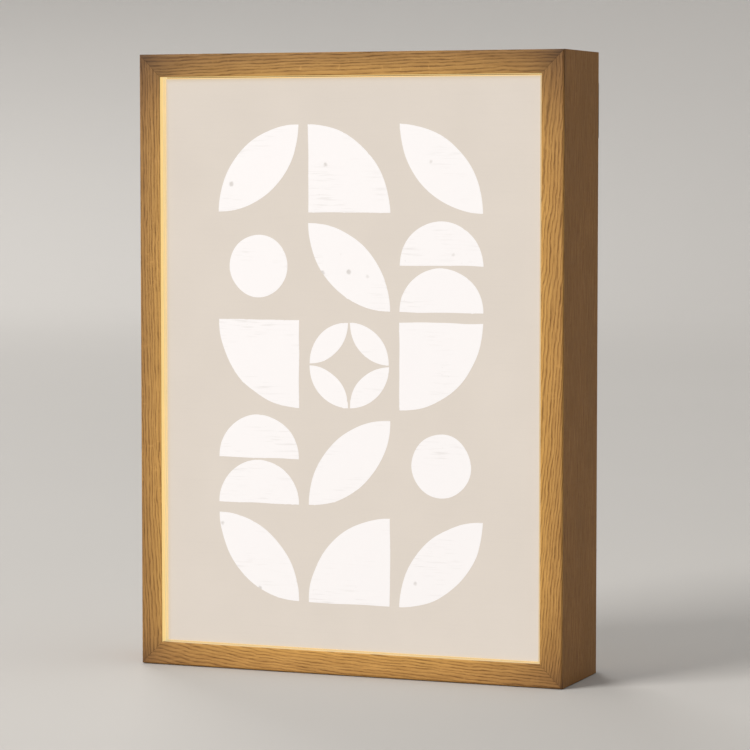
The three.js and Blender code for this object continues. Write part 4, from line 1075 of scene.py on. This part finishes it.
def rocker():
    """The rocker drawn level, its two pads meeting in a shallow valley, then turned to its rest angle about the pivot."""
    tilt, c, half = math.tan(math.radians(10)), 3.1, 7.9
    prof = [(-half, c + half * tilt - 0.5), (-half + 0.35, c + half * tilt - 0.06)]
    for k in range(0, 13):           # pads slightly dished, valley softened
        q = -7.0 + 14.0 * k / 12
        dish = -0.16 * math.sin(math.pi * min(1.0, abs(q) / 7.0))
        soft = 0.22 * math.exp(-(q / 0.9) ** 2)
        prof.append((q, c + abs(q) * tilt + dish + soft))
    prof += [(half - 0.35, c + half * tilt - 0.06), (half, c + half * tilt - 0.5), (half - 0.3, 0.6), (5.2, -3.0), (-5.2, -3.0), (-half + 0.3, 0.6)]
    bm = bmesh.new()
    rings = []
    for y, k in ((-5.25, 0.25), (-5.0, 0.0), (0.0, 0.0), (5.0, 0.0), (5.25, 0.25)):
        rings.append([bm.verts.new((-(p - k * (0.8 if p > 0 else -0.8)), y, q - k * 0.8 * (1 if q > 0 else -1 if q < 0 else 0))) for q, p in prof])
    for a_, b_ in zip(rings, rings[1:]):
        for i in range(len(prof)):
            j = (i + 1) % len(prof)
            bm.faces.new((a_[i], a_[j], b_[j], b_[i]))
    bm.faces.new(rings[0])
    bm.faces.new(rings[-1])
    bmesh.ops.recalc_face_normals(bm, faces=bm.faces)
    place = Matrix.Translation(SWITCH) @ Matrix.Rotation(math.radians(10), 4, "Y")
    bmesh.ops.transform(bm, matrix=place, verts=bm.verts)
    body = from_bmesh("rocker_body", bm, [BLACK_GLOSS])
    parts = [body]
    pin = lathe_bm(rounded([(0, -5.95), (0.9, -5.95), (0.9, 5.95), (0, 5.95)], 0.2, 3), 24)
    bmesh.ops.transform(pin, matrix=place @ TO_Y, verts=pin.verts)
    parts.append(from_bmesh("rocker_pin", pin, [BLACK_GLOSS]))
    # the two marks stand a hair proud of the pads: a stroke on the upper pad, a ring on the lower
    def mark(loops, sgn):
        slope = math.atan(tilt) * sgn
        m = plate("mark", loops, 0.20, 0.02, Matrix.Identity(4), [INK], 1)
        q0 = sgn * 4.1
        # local x to row Y, local y up the pad, local z outwards
        up = Vector((-math.sin(slope), 0.0, math.cos(slope)))
        outw = Vector((-math.cos(slope), 0.0, -math.sin(slope)))
        acr = up.cross(outw)
        at = Vector((-(c + abs(q0) * tilt - 0.11), 0.0, q0))
        mm = Matrix(((acr.x, up.x, outw.x, at.x), (acr.y, up.y, outw.y, at.y), (acr.z, up.z, outw.z, at.z), (0, 0, 0, 1)))
        m.data.transform(Matrix.Diagonal((1000, 1000, 1000, 1)))
        m.data.transform(place @ mm)
        m.data.transform(Matrix.Diagonal((0.001, 0.001, 0.001, 1)))
        return m
    parts.append(mark([round_rect(-0.32, 0.32, -1.7, 1.7, 0.15, 3)], 1))
    parts.append(mark([circle(0, 0, 1.55, 40), circle(0, 0, 0.98, 32)], -1))
    return smooth(merge("rocker_pad", parts), 36)


settle(rocker(), "rocker", "black_plastic", "switch_rocker")

# ---- carried-over CAD nodes: inside the case, mostly out of sight -----------------------------------
FINISH = {"mitre_key": BEECH, "back_batten_left": PINE_Z, "back_batten_right": PINE_Z, "back_batten_top": PINE_X, "back_batten_bottom": PINE_X,
          "panel_spacer": CLEAR, "diffuser": OPAL, "reflector_tray": PAINT, "led_strip": PCB, "bus_board": PCB, "tray_screw": ZINC,
          "led_driver": BLACK, "tray_grommet": RUBBER, "lead_": LEAD, "dc_jack_nut": ZINC}
for n, o in NODES.items():
    if o.hide_render:
        continue
    found = [mt for key, mt in FINISH.items() if n.startswith(key)]
    if not found:
        raise SystemExit(f"no finish for {n}")
    for slot_ in o.material_slots:
        slot_.material = found[0]
    if not o.material_slots:
        o.data.materials.append(found[0])


# ---- floor, light and camera ----------------------------------------------------------------------
def studio():
    """A pale floor that turns up into a round open backdrop far from the object, so that no edge shows from any side."""
    m = Mat("studio_floor")
    n = m.noise(m.p, (0.0016, 0.0016, 0.0016), 3.0)
    x, y, _ = m.xyz(m.p)
    far = m.span(m.math("SQRT", m.math("ADD", m.math("MULTIPLY", x, x), m.math("MULTIPLY", y, y))), 3500.0, 8500.0, 0.0, 1.0, True)
    near = m.mix(n, (0.525, 0.513, 0.495, 1.0), (0.510, 0.498, 0.480, 1.0))
    m.set(color=m.mix(far, near, (0.650, 0.637, 0.618, 1.0)), rough=0.85, spec=0.12)
    bm = bmesh.new()
    flat, bend, tall, n_ = 6000.0, 4500.0, 8500.0, 96
    prof = [(0.0, 0.0), (600.0, 0.0), (2000.0, 0.0), (flat, 0.0)]
    prof += [(flat + bend * math.sin(g), bend * (1 - math.cos(g))) for g in [math.radians(6 * k) for k in range(1, 16)]]
    prof += [(flat + bend, tall)]
    rings = []
    for r, z in prof:
        if r == 0:
            rings.append([bm.verts.new((0, 0, z))])
        else:
            rings.append([bm.verts.new((r * math.cos(2 * math.pi * i / n_), r * math.sin(2 * math.pi * i / n_), z)) for i in range(n_)])
    for a_, b_ in zip(rings, rings[1:]):
        for i in range(n_):
            j = (i + 1) % n_
            bm.faces.new([a_[0], b_[i], b_[j]] if len(a_) == 1 else [a_[i], b_[i], b_[j], a_[j]])
    bmesh.ops.translate(bm, vec=(0, 0, -0.4), verts=bm.verts)
    bmesh.ops.recalc_face_normals(bm, faces=bm.faces)
    o = from_bmesh("studio_floor", bm, [m.m])
    o.data.shade_smooth()


studio()


def area(name, at, aim, size, power, colour=(1.0, 1.0, 1.0), spread=180.0):
    lamp = bpy.data.lights.new(name, "AREA")
    lamp.shape, lamp.size, lamp.energy, lamp.color = "SQUARE", size, power, colour
    lamp.spread = math.radians(spread)
    o = bpy.data.objects.new(name, lamp)
    o.location = at
    o.rotation_mode = "QUATERNION"
    o.rotation_quaternion = (Vector(aim) - Vector(at)).to_track_quat("-Z", "Y")
    SCENE.collection.objects.link(o)


area("key", (-3.3, -4.4, 3.0), (0, 0, 0.2), 3.0, 412, (1.0, 0.97, 0.93))
area("overhead", (0.0, 0.0, 8.0), (0, 0, 0), 8.0, 170, (1.0, 0.985, 0.965))
area("back_left", (-4.2, 5.6, 4.6), (0, 0, 0.2), 3.0, 215, (1.0, 0.97, 0.94))
area("side_right", (5.0, 0.6, 1.8), (0, 0, 0.2), 2.0, 3, (1.0, 0.97, 0.93))

world = bpy.data.worlds.new("studio")
SCENE.world = world
world.use_nodes = True
world.node_tree.nodes["Background"].inputs[0].default_value = (0.97, 0.98, 1.0, 1.0)
world.node_tree.nodes["Background"].inputs[1].default_value = 0.27
SCENE.view_settings.view_transform = "Standard"
SCENE.view_settings.look = "None"
SCENE.view_settings.exposure = 0.0
SCENE.view_settings.gamma = 1.0

cam = bpy.data.cameras.new("camera")
cam.sensor_fit, cam.sensor_width, cam.lens = "HORIZONTAL", 36.0, 154.0
cam.clip_start, cam.clip_end = 0.05, 60.0
camera = bpy.data.objects.new("camera", cam)
SCENE.collection.objects.link(camera)
yaw, pitch = -0.37691, 0.06633
view_dir = Vector((math.sin(yaw) * math.cos(pitch), math.cos(yaw) * math.cos(pitch), -math.sin(pitch)))
camera.location = (0.87484, -2.19963, 0.37468)
camera.rotation_mode = "QUATERNION"
camera.rotation_quaternion = view_dir.to_track_quat("-Z", "Y")
SCENE.camera = camera

bpy.context.view_layer.update()
